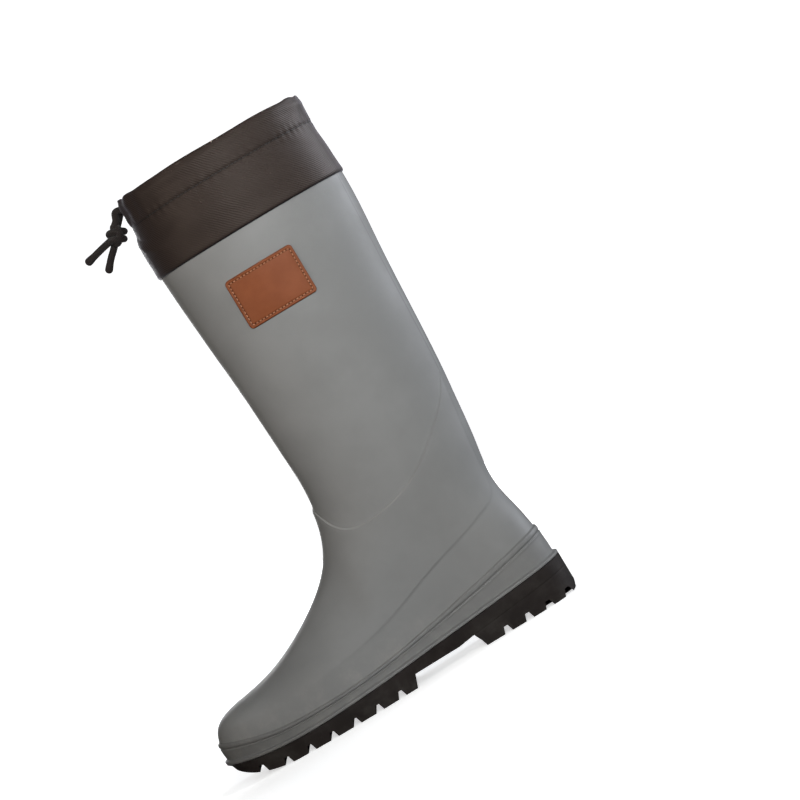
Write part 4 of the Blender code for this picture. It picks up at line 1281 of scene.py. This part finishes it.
rows = int(PATCH_HEIGHT / PATCH_CELL)
columns = int(PATCH_WIDTH / PATCH_CELL)
count = rows * columns
patch_z = PATCH_HEIGHT / 2.0 * crowded(rows)
in_corner = np.maximum(np.abs(patch_z) - (PATCH_HEIGHT / 2.0 - PATCH_CORNER), 0.0)
reach = PATCH_WIDTH / 2.0 - PATCH_CORNER + np.sqrt(np.maximum(PATCH_CORNER ** 2 - in_corner ** 2, 0.0))
local_x = np.outer(reach, crowded(columns))
local_z = np.repeat(patch_z[:, None], columns, axis=1)
from_edge = np.maximum(inside_patch(local_x, local_z), 0.0)
roll = np.sqrt(np.clip(1.0 - (1.0 - np.minimum(from_edge / PATCH_ROLL, 1.0)) ** 2, 0.0, 1.0))
groove = bell(inside_patch(local_x, local_z, THREAD_INSET, THREAD_CORNER), 0.0, CHANNEL_SPREAD)
pricked = np.zeros_like(local_x)
for x, z in hole_spots:
    pricked = np.maximum(pricked, bell(local_x, x, HOLE_SPREAD) * bell(local_z, z, HOLE_SPREAD))
patch_out = (GAP + PATCH_THICKNESS * roll - THREAD_CHANNEL * groove - HOLE_DEPTH * pricked
             + CROWN_RISE * smoothstep(*CROWN_SPREAD, from_edge))
face, rear = (side_points(PATCH_CENTRE_X + local_x, PATCH_CENTRE_Z + local_z, out[..., None]).reshape(-1, 3)
              for out in (patch_out, np.full_like(patch_out, REAR_OUT)))
index = np.arange(count).reshape(rows, columns)
face_cells = np.stack((index[:-1, :-1], index[1:, :-1], index[1:, 1:], index[:-1, 1:]), axis=-1)
face_cells = face_cells.reshape(-1, 4)
rear_cells = face_cells[:, ::-1] + count
border = np.concatenate((index[0], index[1:, -1], index[-1, -2::-1], index[-2:0:-1, 0]))
following = np.roll(border, -1)
edge_cells = np.stack((border, following, following + count, border + count), axis=-1)
patch = make_piece("patch_leather", np.concatenate((face, rear)),
                   np.concatenate((face_cells, rear_cells, edge_cells)).tolist())
for name, values in (("from_edge", from_edge), ("pricked", pricked), ("groove", groove)):
    store(patch, name, np.concatenate((values.ravel(), np.zeros(count))))
print("The patch has", len(patch.data.polygons), "faces")

# %% Patch: stitches
PATCH_STITCH = Seam(1.75, 0.85, 0.7)
THREAD_OUT = GAP + PATCH_THICKNESS - 0.05


def on_patch(spots, out):
    x, z = spots.T
    return side_points(PATCH_CENTRE_X + x, PATCH_CENTRE_Z + z, np.full((len(spots), 1), out))


stitch_places = on_patch(stitch_spots, THREAD_OUT)
holes = on_patch(hole_spots, THREAD_OUT)
stitch_ahead = unit(holes - np.roll(holes, 1, axis=0))
stitch_normal = unit(on_patch(stitch_spots, THREAD_OUT + 1.0) - stitch_places)
patch_stitches = make_stitches("patch_stitches", stitch_places, stitch_ahead, stitch_normal, PATCH_STITCH)
print("The patch is sewn on with", len(stitch_places), "stitches")

# %% [markdown]
# Surfaces come next. An effect that several materials share is a shader node group: a grain that noise
# makes at two sizes, slow blotches of tone, dust that gathers near the floor, and a weave drawn from
# cloth coordinates. Each group gives out only a mask or a height, so a material decides what it means.

# %% Node helpers
def feed(tree, socket, value):
    """Link an input to another socket or set it to a value; a colour may be a triple."""
    if isinstance(value, bpy.types.NodeSocket):
        tree.links.new(value, socket)
    elif socket.type == "RGBA" and len(value) == 3:
        socket.default_value = (*value, 1.0)
    else:
        socket.default_value = value


def node(tree, kind, inputs=None, **settings):
    """A new node with its settings and its inputs."""
    made = tree.nodes.new("ShaderNode" + kind)
    for name, value in settings.items():
        setattr(made, name, value)
    for name, value in (inputs or {}).items():
        feed(tree, made.inputs[name], value)
    return made


def sums(tree, operation, first, second=0.0):
    """One sum on two numbers or sockets."""
    return node(tree, "Math", {0: first, 1: second}, operation=operation).outputs[0]


def product(tree, first, *others):
    """Several numbers or sockets multiplied together."""
    for other in others:
        first = sums(tree, "MULTIPLY", first, other)
    return first


def split(tree, vector):
    return node(tree, "SeparateXYZ", {0: vector}).outputs


def ramp(tree, value, low, high, start=0.0, end=1.0):
    """A smooth change from start to end while the value goes from low to high."""
    return node(tree, "MapRange", {"Value": value, "From Min": low, "From Max": high, "To Min": start,
                                   "To Max": end}, interpolation_type="SMOOTHSTEP").outputs["Result"]


def make_group(name, output, *numbers):
    """An empty shader node group that takes a vector and some numbers and gives one number."""
    group = bpy.data.node_groups.new(name, "ShaderNodeTree")
    group.interface.new_socket("Vector", in_out="INPUT", socket_type="NodeSocketVector")
    for label in numbers:
        group.interface.new_socket(label, in_out="INPUT", socket_type="NodeSocketFloat")
    group.interface.new_socket(output, in_out="OUTPUT", socket_type="NodeSocketFloat")
    return group, group.nodes.new("NodeGroupInput").outputs, group.nodes.new("NodeGroupOutput").inputs[output]


def use(tree, group, **inputs):
    """A group placed in a material, with its one output."""
    made = tree.nodes.new("ShaderNodeGroup")
    made.node_tree = group
    for name, value in inputs.items():
        feed(tree, made.inputs[name], value)
    return made.outputs[0]


def noise(tree, vector, scale, **details):
    """Values of a noise texture at a vector."""
    return node(tree, "TexNoise", {"Vector": vector, "Scale": scale, **details}).outputs[0]


print("Node helpers are ready")

# %% Shared groups
THREAD_GRAIN = 2500.0

grain, given, result = make_group("grain", "Height", "Scale")
coarse = noise(grain, given["Vector"], given["Scale"], Detail=3.0)
fine = noise(grain, given["Vector"], product(grain, given["Scale"], 3.7), Detail=2.0)
grain.links.new(sums(grain, "ADD", product(grain, coarse, 0.65), product(grain, fine, 0.35)), result)

blotches, given, result = make_group("blotches", "Mask", "Scale")
slow = noise(blotches, given["Vector"], given["Scale"], Detail=4.0, Roughness=0.6)
blotches.links.new(ramp(blotches, slow, 0.32, 0.68), result)

dust, given, result = make_group("dust", "Mask", "Height")
rise_share = sums(dust, "DIVIDE", split(dust, given["Vector"])["Z"], given["Height"])
low_part = sums(dust, "SUBTRACT", 1.0, rise_share)
specks = noise(dust, given["Vector"], 55.0, Detail=6.0, Roughness=0.7)
settled = product(dust, node(dust, "Clamp", {"Value": low_part}).outputs[0], ramp(dust, specks, 0.42, 0.75))
dust.links.new(settled, result)

weave, given, result = make_group("weave", "Height", "Pitch", "Lean")
warp = product(weave, noise(weave, given["Vector"], 0.16, Detail=2.0), 1.6)
place = split(weave, given["Vector"])
shifted = sums(weave, "ADD", place["Y"], warp)
slanted = sums(weave, "SUBTRACT", shifted, product(weave, place["X"], given["Lean"]))
crossed = sums(weave, "ADD", product(weave, place["Y"], given["Lean"]), place["X"])
waves = [sums(weave, "DIVIDE", product(weave, run, angle), given["Pitch"])
         for run, angle in ((slanted, 2.0 * math.pi), (crossed, 2.6 * math.pi))]
ribs, threads = (sums(weave, "SINE", wave) for wave in waves)
mixed = sums(weave, "ADD", product(weave, ribs, 0.42), product(weave, threads, 0.08))
weave.links.new(sums(weave, "ADD", mixed, 0.5), result)
print("Shared groups:", [group.name for group in bpy.data.node_groups])

# %% [markdown]
# Each material starts from the Principled shader and sets what stays the same on its own sockets. What
# varies is linked in: colours through a mix, heights through one bump node whose distance is a
# millimetre, so every height below is in millimetres too.

# %% Material helpers
def new_material(name, roughness, **constants):
    """A material, its tree, its shader and its object coordinates."""
    material = bpy.data.materials.new(name)
    material.use_nodes = True
    tree = material.node_tree
    shader = tree.nodes["Principled BSDF"]
    shader.inputs["Roughness"].default_value = roughness
    for label, value in constants.items():
        shader.inputs[label.replace("_", " ")].default_value = value
    return material, tree, shader, node(tree, "TexCoord").outputs["Object"]


def blend(tree, factor, first, second):
    """A mix of two colours, each a triple or a socket."""
    return node(tree, "Mix", {"Factor": factor, 6: first, 7: second}, data_type="RGBA").outputs[2]


def kept(tree, name):
    """A number that the mesh keeps for each of its points."""
    return node(tree, "Attribute", attribute_name=name).outputs["Fac"]


def finish_material(tree, shader, colour, height, roughness=None):
    """Link what varies: colour, height in millimetres and, where it changes, roughness."""
    tree.links.new(colour, shader.inputs["Base Color"])
    bump = node(tree, "Bump", {"Height": height, "Strength": 1.0, "Distance": MM})
    tree.links.new(bump.outputs[0], shader.inputs["Normal"])
    if roughness is not None:
        tree.links.new(roughness, shader.inputs["Roughness"])


def fibre_material(name, roughness, scale, dark, light, relief, **constants):
    """A plain material whose one grain gives both its tone and its height."""
    material, tree, shader, spot = new_material(name, roughness, **constants)
    fibres = use(tree, grain, Vector=spot, Scale=scale)
    finish_material(tree, shader, blend(tree, fibres, dark, light), product(tree, fibres, relief))
    return material


def wear(piece, *materials):
    for material in materials:
        piece.data.materials.append(material)


print("Material helpers are ready")

# %% [markdown]
# The grey rubber carries most of the picture. Its tone varies slowly, dust gathers low down and the
# rand darkens towards the toe as painted shade. The kept distances sharpen the panel edges, draw the
# thin line of the back piece with painted shade in its groove, and paint a highlight along the ledge's front
# and painted shade along its back.

# %% Grey rubber
STEP_SHARP = 0.8


def sharpen(tree, gap):
    """What a sharp step adds to the soft one that the mesh already has."""
    sharp = ramp(tree, gap, -STEP_SHARP, STEP_SHARP)
    return sums(tree, "SUBTRACT", sharp, ramp(tree, gap, -STEP_HALF, STEP_HALF))


grey_rubber, tree, shader, spot = new_material("grey_rubber_skin", 0.6, Specular_IOR_Level=0.3)
tone = blend(tree, use(tree, blotches, Vector=spot, Scale=16.0), (0.15, 0.15, 0.1485), (0.17, 0.17, 0.1685))
tone = blend(tree, use(tree, dust, Vector=spot, Height=0.05), tone, (0.26, 0.25, 0.235))
# Painted shade: the rand's colour darkens towards the toe.
tone = blend(tree, product(tree, kept(tree, "soiled"), 0.6), tone, (0.085, 0.083, 0.08))
place = split(tree, spot)
shaft_gap = kept(tree, "to_shaft")
back_gap = kept(tree, "to_back")
rise_kept = kept(tree, "rise")
ahead = ramp(tree, back_gap, -1.0, 1.0)
below = ramp(tree, shaft_gap, -1.0, 1.0)
shaft_step = product(tree, sharpen(tree, shaft_gap), rise_kept, ahead)
back_step = product(tree, sharpen(tree, back_gap), rise_kept, product(tree, below, 0.15))
thin_line = product(tree, ramp(tree, sums(tree, "ABSOLUTE", back_gap), 0.6, 0.1),
                    ramp(tree, place["X"], 0.01, 0.05, 1.0, 0.0))
fine_grain = product(tree, use(tree, grain, Vector=spot, Scale=900.0), 0.035)
height = sums(tree, "ADD", sums(tree, "ADD", shaft_step, back_step), fine_grain)
height = sums(tree, "SUBTRACT", height, product(tree, thin_line, 0.03))
# Painted shade: the back piece's groove is drawn as a thin dark line.
groove_line_shade = product(tree, thin_line, ramp(tree, place["Z"], 0.095, 0.12, 0.08, 0.5))
tone = blend(tree, groove_line_shade, tone, (0.07, 0.07, 0.07))
rim = product(tree, ramp(tree, sums(tree, "ABSOLUTE", shaft_gap), 1.2, 0.1), ahead)
in_front = ramp(tree, place["X"], -0.1, -0.055)
# Painted highlight: the ledge's lower front edge is lightened as if it caught the light.
ledge_painted_highlight = product(tree, rim, in_front, ramp(tree, rise_kept, 0.6, 1.3))
# Painted shade: the ledge's back part is darkened as if it faced away from the light.
ledge_painted_shade = product(tree, rim, sums(tree, "SUBTRACT", 1.0, in_front))
tone = blend(tree, product(tree, ledge_painted_highlight, 0.5), tone, (0.24, 0.237, 0.228))
tone = blend(tree, product(tree, ledge_painted_shade, 0.25), tone, (0.09, 0.09, 0.088))
gloss = ramp(tree, use(tree, blotches, Vector=spot, Scale=30.0), 0.0, 1.0, 0.54, 0.66)
finish_material(tree, shader, tone, height, gloss)
lining = fibre_material("lining_knit", 0.95, 700.0, (0.06, 0.06, 0.062), (0.11, 0.11, 0.114), 0.5,
                        Sheen_Weight=0.2)
wear(upper, grey_rubber, lining)
print("The upper wears", [made.name for made in upper.data.materials])

# %% Black rubber
HEEL_LINE_Z = 19.0
HEEL_LINE_FALL = 0.0935
HEEL_LINE_END = (80.0, 86.0)

material, tree, shader, spot = new_material("black_rubber_tread", 0.65, Specular_IOR_Level=0.13)
stipple = use(tree, grain, Vector=spot, Scale=1100.0)
worn = node(tree, "NewGeometry").outputs["Pointiness"]
mottle = use(tree, blotches, Vector=spot, Scale=28.0)
tone = blend(tree, mottle, (0.0098, 0.0071, 0.0063), (0.016, 0.0121, 0.0109))
tone = blend(tree, ramp(tree, worn, 0.52, 0.6, 0.0, 0.5), tone, (0.03, 0.027, 0.025))
tone = blend(tree, use(tree, dust, Vector=spot, Height=0.03), tone, (0.03, 0.027, 0.024))
place = split(tree, spot)
heel_x = sums(tree, "ADD", sums(tree, "DIVIDE", place["X"], MM), ROW_SHIFT)
line_z = sums(tree, "SUBTRACT", HEEL_LINE_Z, product(tree, heel_x, HEEL_LINE_FALL))
off_line = sums(tree, "ABSOLUTE", sums(tree, "SUBTRACT", sums(tree, "DIVIDE", place["Z"], MM), line_z))
heel_line = product(tree, ramp(tree, off_line, 0.8, 0.2), ramp(tree, heel_x, *HEEL_LINE_END, 1.0, 0.0))
height = sums(tree, "SUBTRACT", product(tree, stipple, 0.09), product(tree, heel_line, 0.18))
finish_material(tree, shader, tone, height)
wear(outsole, material)
print("The outsole wears", material.name)

# %% Insole felt
wear(insole, fibre_material("insole_cover", 0.95, 1200.0, (0.08, 0.076, 0.073), (0.16, 0.152, 0.145), 0.35,
                            Sheen_Weight=0.3))
print("The insole wears", insole.data.materials[0].name)

# %% Gaiter cloth and its thread
TWILL_PITCH = 2.4

material, tree, shader, spot = new_material("gaiter_twill", 0.5, Sheen_Weight=0.25, Sheen_Roughness=0.3,
                                           Sheen_Tint=(0.9, 0.88, 1.0, 1.0), Specular_IOR_Level=0.19,
                                           Specular_Tint=(1.0, 0.86, 0.78, 1.0))
cloth = node(tree, "UVMap", uv_map="cloth").outputs[0]
twill = use(tree, weave, Vector=cloth, Pitch=TWILL_PITCH, Lean=1.0)
tone = blend(tree, twill, (0.0118, 0.0079, 0.0066), (0.0222, 0.0153, 0.013))
tone = blend(tree, use(tree, blotches, Vector=spot, Scale=22.0), tone, (0.0174, 0.0119, 0.0101))
cloth_z = split(tree, cloth)["Y"]
# Painted shadow: a thin dark line along the hem, where the cloth meets the rubber.
hem = ramp(tree, cloth_z, GAITER_LOW + 1.2, GAITER_LOW + 0.5)
tone = blend(tree, hem, tone, (0.005, 0.004, 0.004))
# Painted shade: a thin dark line in the seam's valley.
seam_painted_shade = ramp(tree, sums(tree, "ABSOLUTE", sums(tree, "SUBTRACT", cloth_z, SEAM_Z)), 0.75, 0.3)
tone = blend(tree, product(tree, seam_painted_shade, 0.85), tone, (0.003, 0.0022, 0.002))
finish_material(tree, shader, tone, product(tree, twill, 0.13))
wear(gaiter, material)
wear(channel_stitches, fibre_material("dark_thread", 0.7, THREAD_GRAIN, (0.005, 0.004, 0.0037),
                                      (0.014, 0.0115, 0.0108), 0.1))
print("The gaiter wears", material.name)

# %% Tan leather and its thread
material, tree, shader, spot = new_material("patch_hide", 0.5, Specular_IOR_Level=0.14)
pores = use(tree, grain, Vector=spot, Scale=1500.0)
mottle = use(tree, blotches, Vector=spot, Scale=70.0)
tone = blend(tree, mottle, (0.155, 0.0425, 0.0135), (0.182, 0.052, 0.0178))
tone = blend(tree, product(tree, pores, 0.35), tone, (0.15, 0.045, 0.02))
tone = blend(tree, ramp(tree, kept(tree, "from_edge"), 1.3, 0.2, 0.0, 0.4), tone, (0.07, 0.022, 0.011))
tone = blend(tree, product(tree, kept(tree, "groove"), 0.35), tone, (0.09, 0.03, 0.015))
tone = blend(tree, kept(tree, "pricked"), tone, (0.02, 0.008, 0.005))
finish_material(tree, shader, tone, product(tree, pores, 0.16))
wear(patch, material)
wear(patch_stitches, fibre_material("tan_thread", 0.65, THREAD_GRAIN, (0.26, 0.10, 0.045),
                                    (0.38, 0.17, 0.085), 0.12))
print("The patch wears", material.name)

# %% Black cord
BRAID_PITCH = 1.3
BRAID_LEAN = 0.9

material, tree, shader, spot = new_material("cord_braid", 0.7, Sheen_Weight=0.06, Specular_IOR_Level=0.2)
cloth = node(tree, "UVMap", uv_map="cloth").outputs[0]
braid = use(tree, weave, Vector=cloth, Pitch=BRAID_PITCH, Lean=BRAID_LEAN)
tone = blend(tree, braid, (0.006, 0.0042, 0.0038), (0.019, 0.0135, 0.0122))
finish_material(tree, shader, tone, product(tree, braid, 0.3))
for piece in (*strands.values(), knot):
    wear(piece, material)
print("Materials:", [made.name for made in bpy.data.materials if made.users])

# %% [markdown]
# The stage is a round white cove: a flat floor that curves up into a wall on every side. A flat
# backdrop would show a slanting horizon, because the camera is rolled. The paper glows for the camera
# and throws back little light, so that the boot isn't lit from below. Its glow is dimmer round the boot, a
# painted shadow.

# %% Stage
COVE_FLOOR = (10.0, 500.0, 1500.0)
COVE_FLAT = 2900.0
COVE_BEND = 700.0
COVE_HEIGHT = 3000.0
COVE_COLUMNS = 96
BEND_STEPS = 13
SHADE_RADIUS = (0.2, 0.8)

bend = np.radians(np.linspace(0.0, 90.0, BEND_STEPS))
cove_r = np.concatenate((COVE_FLOOR, COVE_FLAT + COVE_BEND * np.sin(bend), [COVE_FLAT + COVE_BEND]))
cove_z = np.concatenate((np.zeros(len(COVE_FLOOR)), COVE_BEND * (1.0 - np.cos(bend)), [COVE_HEIGHT]))
cove_turns = full_turn(COVE_COLUMNS)
cove_x = np.outer(cove_r, np.cos(cove_turns)) + ROW_SHIFT
cove_y = np.outer(cove_r, np.sin(cove_turns))
cove_points = np.stack((cove_x, cove_y, np.repeat(cove_z[:, None], COVE_COLUMNS, axis=1)), axis=-1)
cove_faces = ring_quads(len(cove_r), COVE_COLUMNS) + [list(range(COVE_COLUMNS))]
cove = make_piece("cove", cove_points.reshape(-1, 3), cove_faces)
print("The cove is", COVE_FLAT + COVE_BEND, "mm in radius")

# %% Stage paper
material, tree, shader, spot = new_material("white_paper", 0.9, Emission_Strength=1.0)
tone = blend(tree, use(tree, blotches, Vector=spot, Scale=3.0), (0.84, 0.84, 0.84), (0.86, 0.86, 0.86))
finish_material(tree, shader, tone, product(tree, use(tree, grain, Vector=spot, Scale=300.0), 0.05))
flat_spot = node(tree, "VectorMath", {0: spot, 1: (1.0, 1.0, 0.0)}, operation="MULTIPLY").outputs[0]
from_middle = node(tree, "VectorMath", {0: flat_spot}, operation="LENGTH").outputs["Value"]
# Painted shadow: the glow is dimmer within a ring round the boot.
glow = blend(tree, ramp(tree, from_middle, *SHADE_RADIUS), (0.6, 0.6, 0.6), (1.0, 1.0, 1.0))
tree.links.new(glow, shader.inputs["Emission Color"])
bounce = node(tree, "BsdfDiffuse", {"Color": (0.16, 0.157, 0.154, 1.0)})
seen = node(tree, "LightPath").outputs["Is Camera Ray"]
paper = node(tree, "MixShader", {0: seen, 1: bounce.outputs[0], 2: shader.outputs[0]})
tree.links.new(paper.outputs[0], tree.nodes["Material Output"].inputs["Surface"])
wear(cove, material)
print("The stage wears", material.name)

# %% [markdown]
# The light in the photo is broad and nearly level. It comes from the viewer's side and a little from
# behind the heel, so the back edge of the shaft is brightest and the toe is darkest. Large area lights
# give such soft edges. One far lamp serves the side that the photo hides, and a narrow one slants down
# into the collar, so that the lining shades off with depth.

# %% Lights
ROOM_COLOUR = (0.95, 0.97, 1.0, 1.0)
ROOM_STRENGTH = 0.12
Lamp = namedtuple("Lamp", "name place aim size spread power colour")
LAMPS = (
    Lamp("key", (-0.35, 1.6, 0.62), (-0.25, 0.0, 0.42), 0.8, 56.0, 3.75, (0.975, 1.0, 1.0)),
    Lamp("side", (-1.5, 1.0, 0.6), (-0.12, 0.0, 0.42), 0.8, 56.0, 1.5, (0.96, 0.99, 1.0)),
    Lamp("front", (1.5, 1.3, 0.75), (0.0, 0.0, 0.5), 0.8, 40.0, 1.6, (1.0, 0.92, 0.82)),
    Lamp("rim", (-1.9, -0.7, 0.6), (-0.1, 0.0, 0.42), 0.8, 56.0, 4.0, (0.88, 0.92, 1.0)),
    Lamp("far", (0.3, -2.0, 0.22), (-0.03, 0.0, 0.2), 1.0, 180.0, 27.0, (0.97, 0.98, 1.0)),
    Lamp("collar", (-1.0, 0.45, 2.2), (-0.07, 0.0, 0.4), 0.12, 5.0, 0.06, (1.0, 1.0, 1.0)),
)
for row in LAMPS:
    lamp_data = bpy.data.lights.new(row.name, "AREA")
    lamp_data.size = row.size
    lamp_data.energy = row.power
    lamp_data.spread = math.radians(row.spread)
    lamp_data.color = row.colour
    lamp = bpy.data.objects.new(row.name, lamp_data)
    lamp.location = row.place
    lamp.rotation_euler = (Vector(row.aim) - Vector(row.place)).to_track_quat("-Z", "Y").to_euler()
    bpy.context.collection.objects.link(lamp)
world = bpy.data.worlds.new("room")
world.use_nodes = True
background = world.node_tree.nodes["Background"].inputs
background["Color"].default_value = ROOM_COLOUR
background["Strength"].default_value = ROOM_STRENGTH
bpy.context.scene.world = world
bpy.context.scene.view_settings.view_transform = "Standard"
print("Lights:", [row.name for row in LAMPS])

# %% [markdown]
# Last, each piece is tied to the frame's root, and the frame's solids that the pieces stand for are hidden.

# %% Tie the pieces to the frame
for piece, name, slot_name in ((upper, "upper", "grey_rubber"), (outsole, "outsole", "black_rubber"),
                               (insole, "insole", "insole_felt"), (gaiter, "gaiter", "gaiter_cloth"),
                               (patch, "patch", "tan_leather"), (knot, "drawcord_knot", "black_cord")):
    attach(piece, "root")
    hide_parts(name)
for piece, slot_name in ((channel_stitches, "gaiter_cloth"), (patch_stitches, "tan_leather")):
    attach(piece, "root")
for row in STRANDS:
    piece = strands[row.name]
    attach(piece, "root")
    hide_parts("drawcord_lead_" + row.name, "drawcord_end_" + row.name)
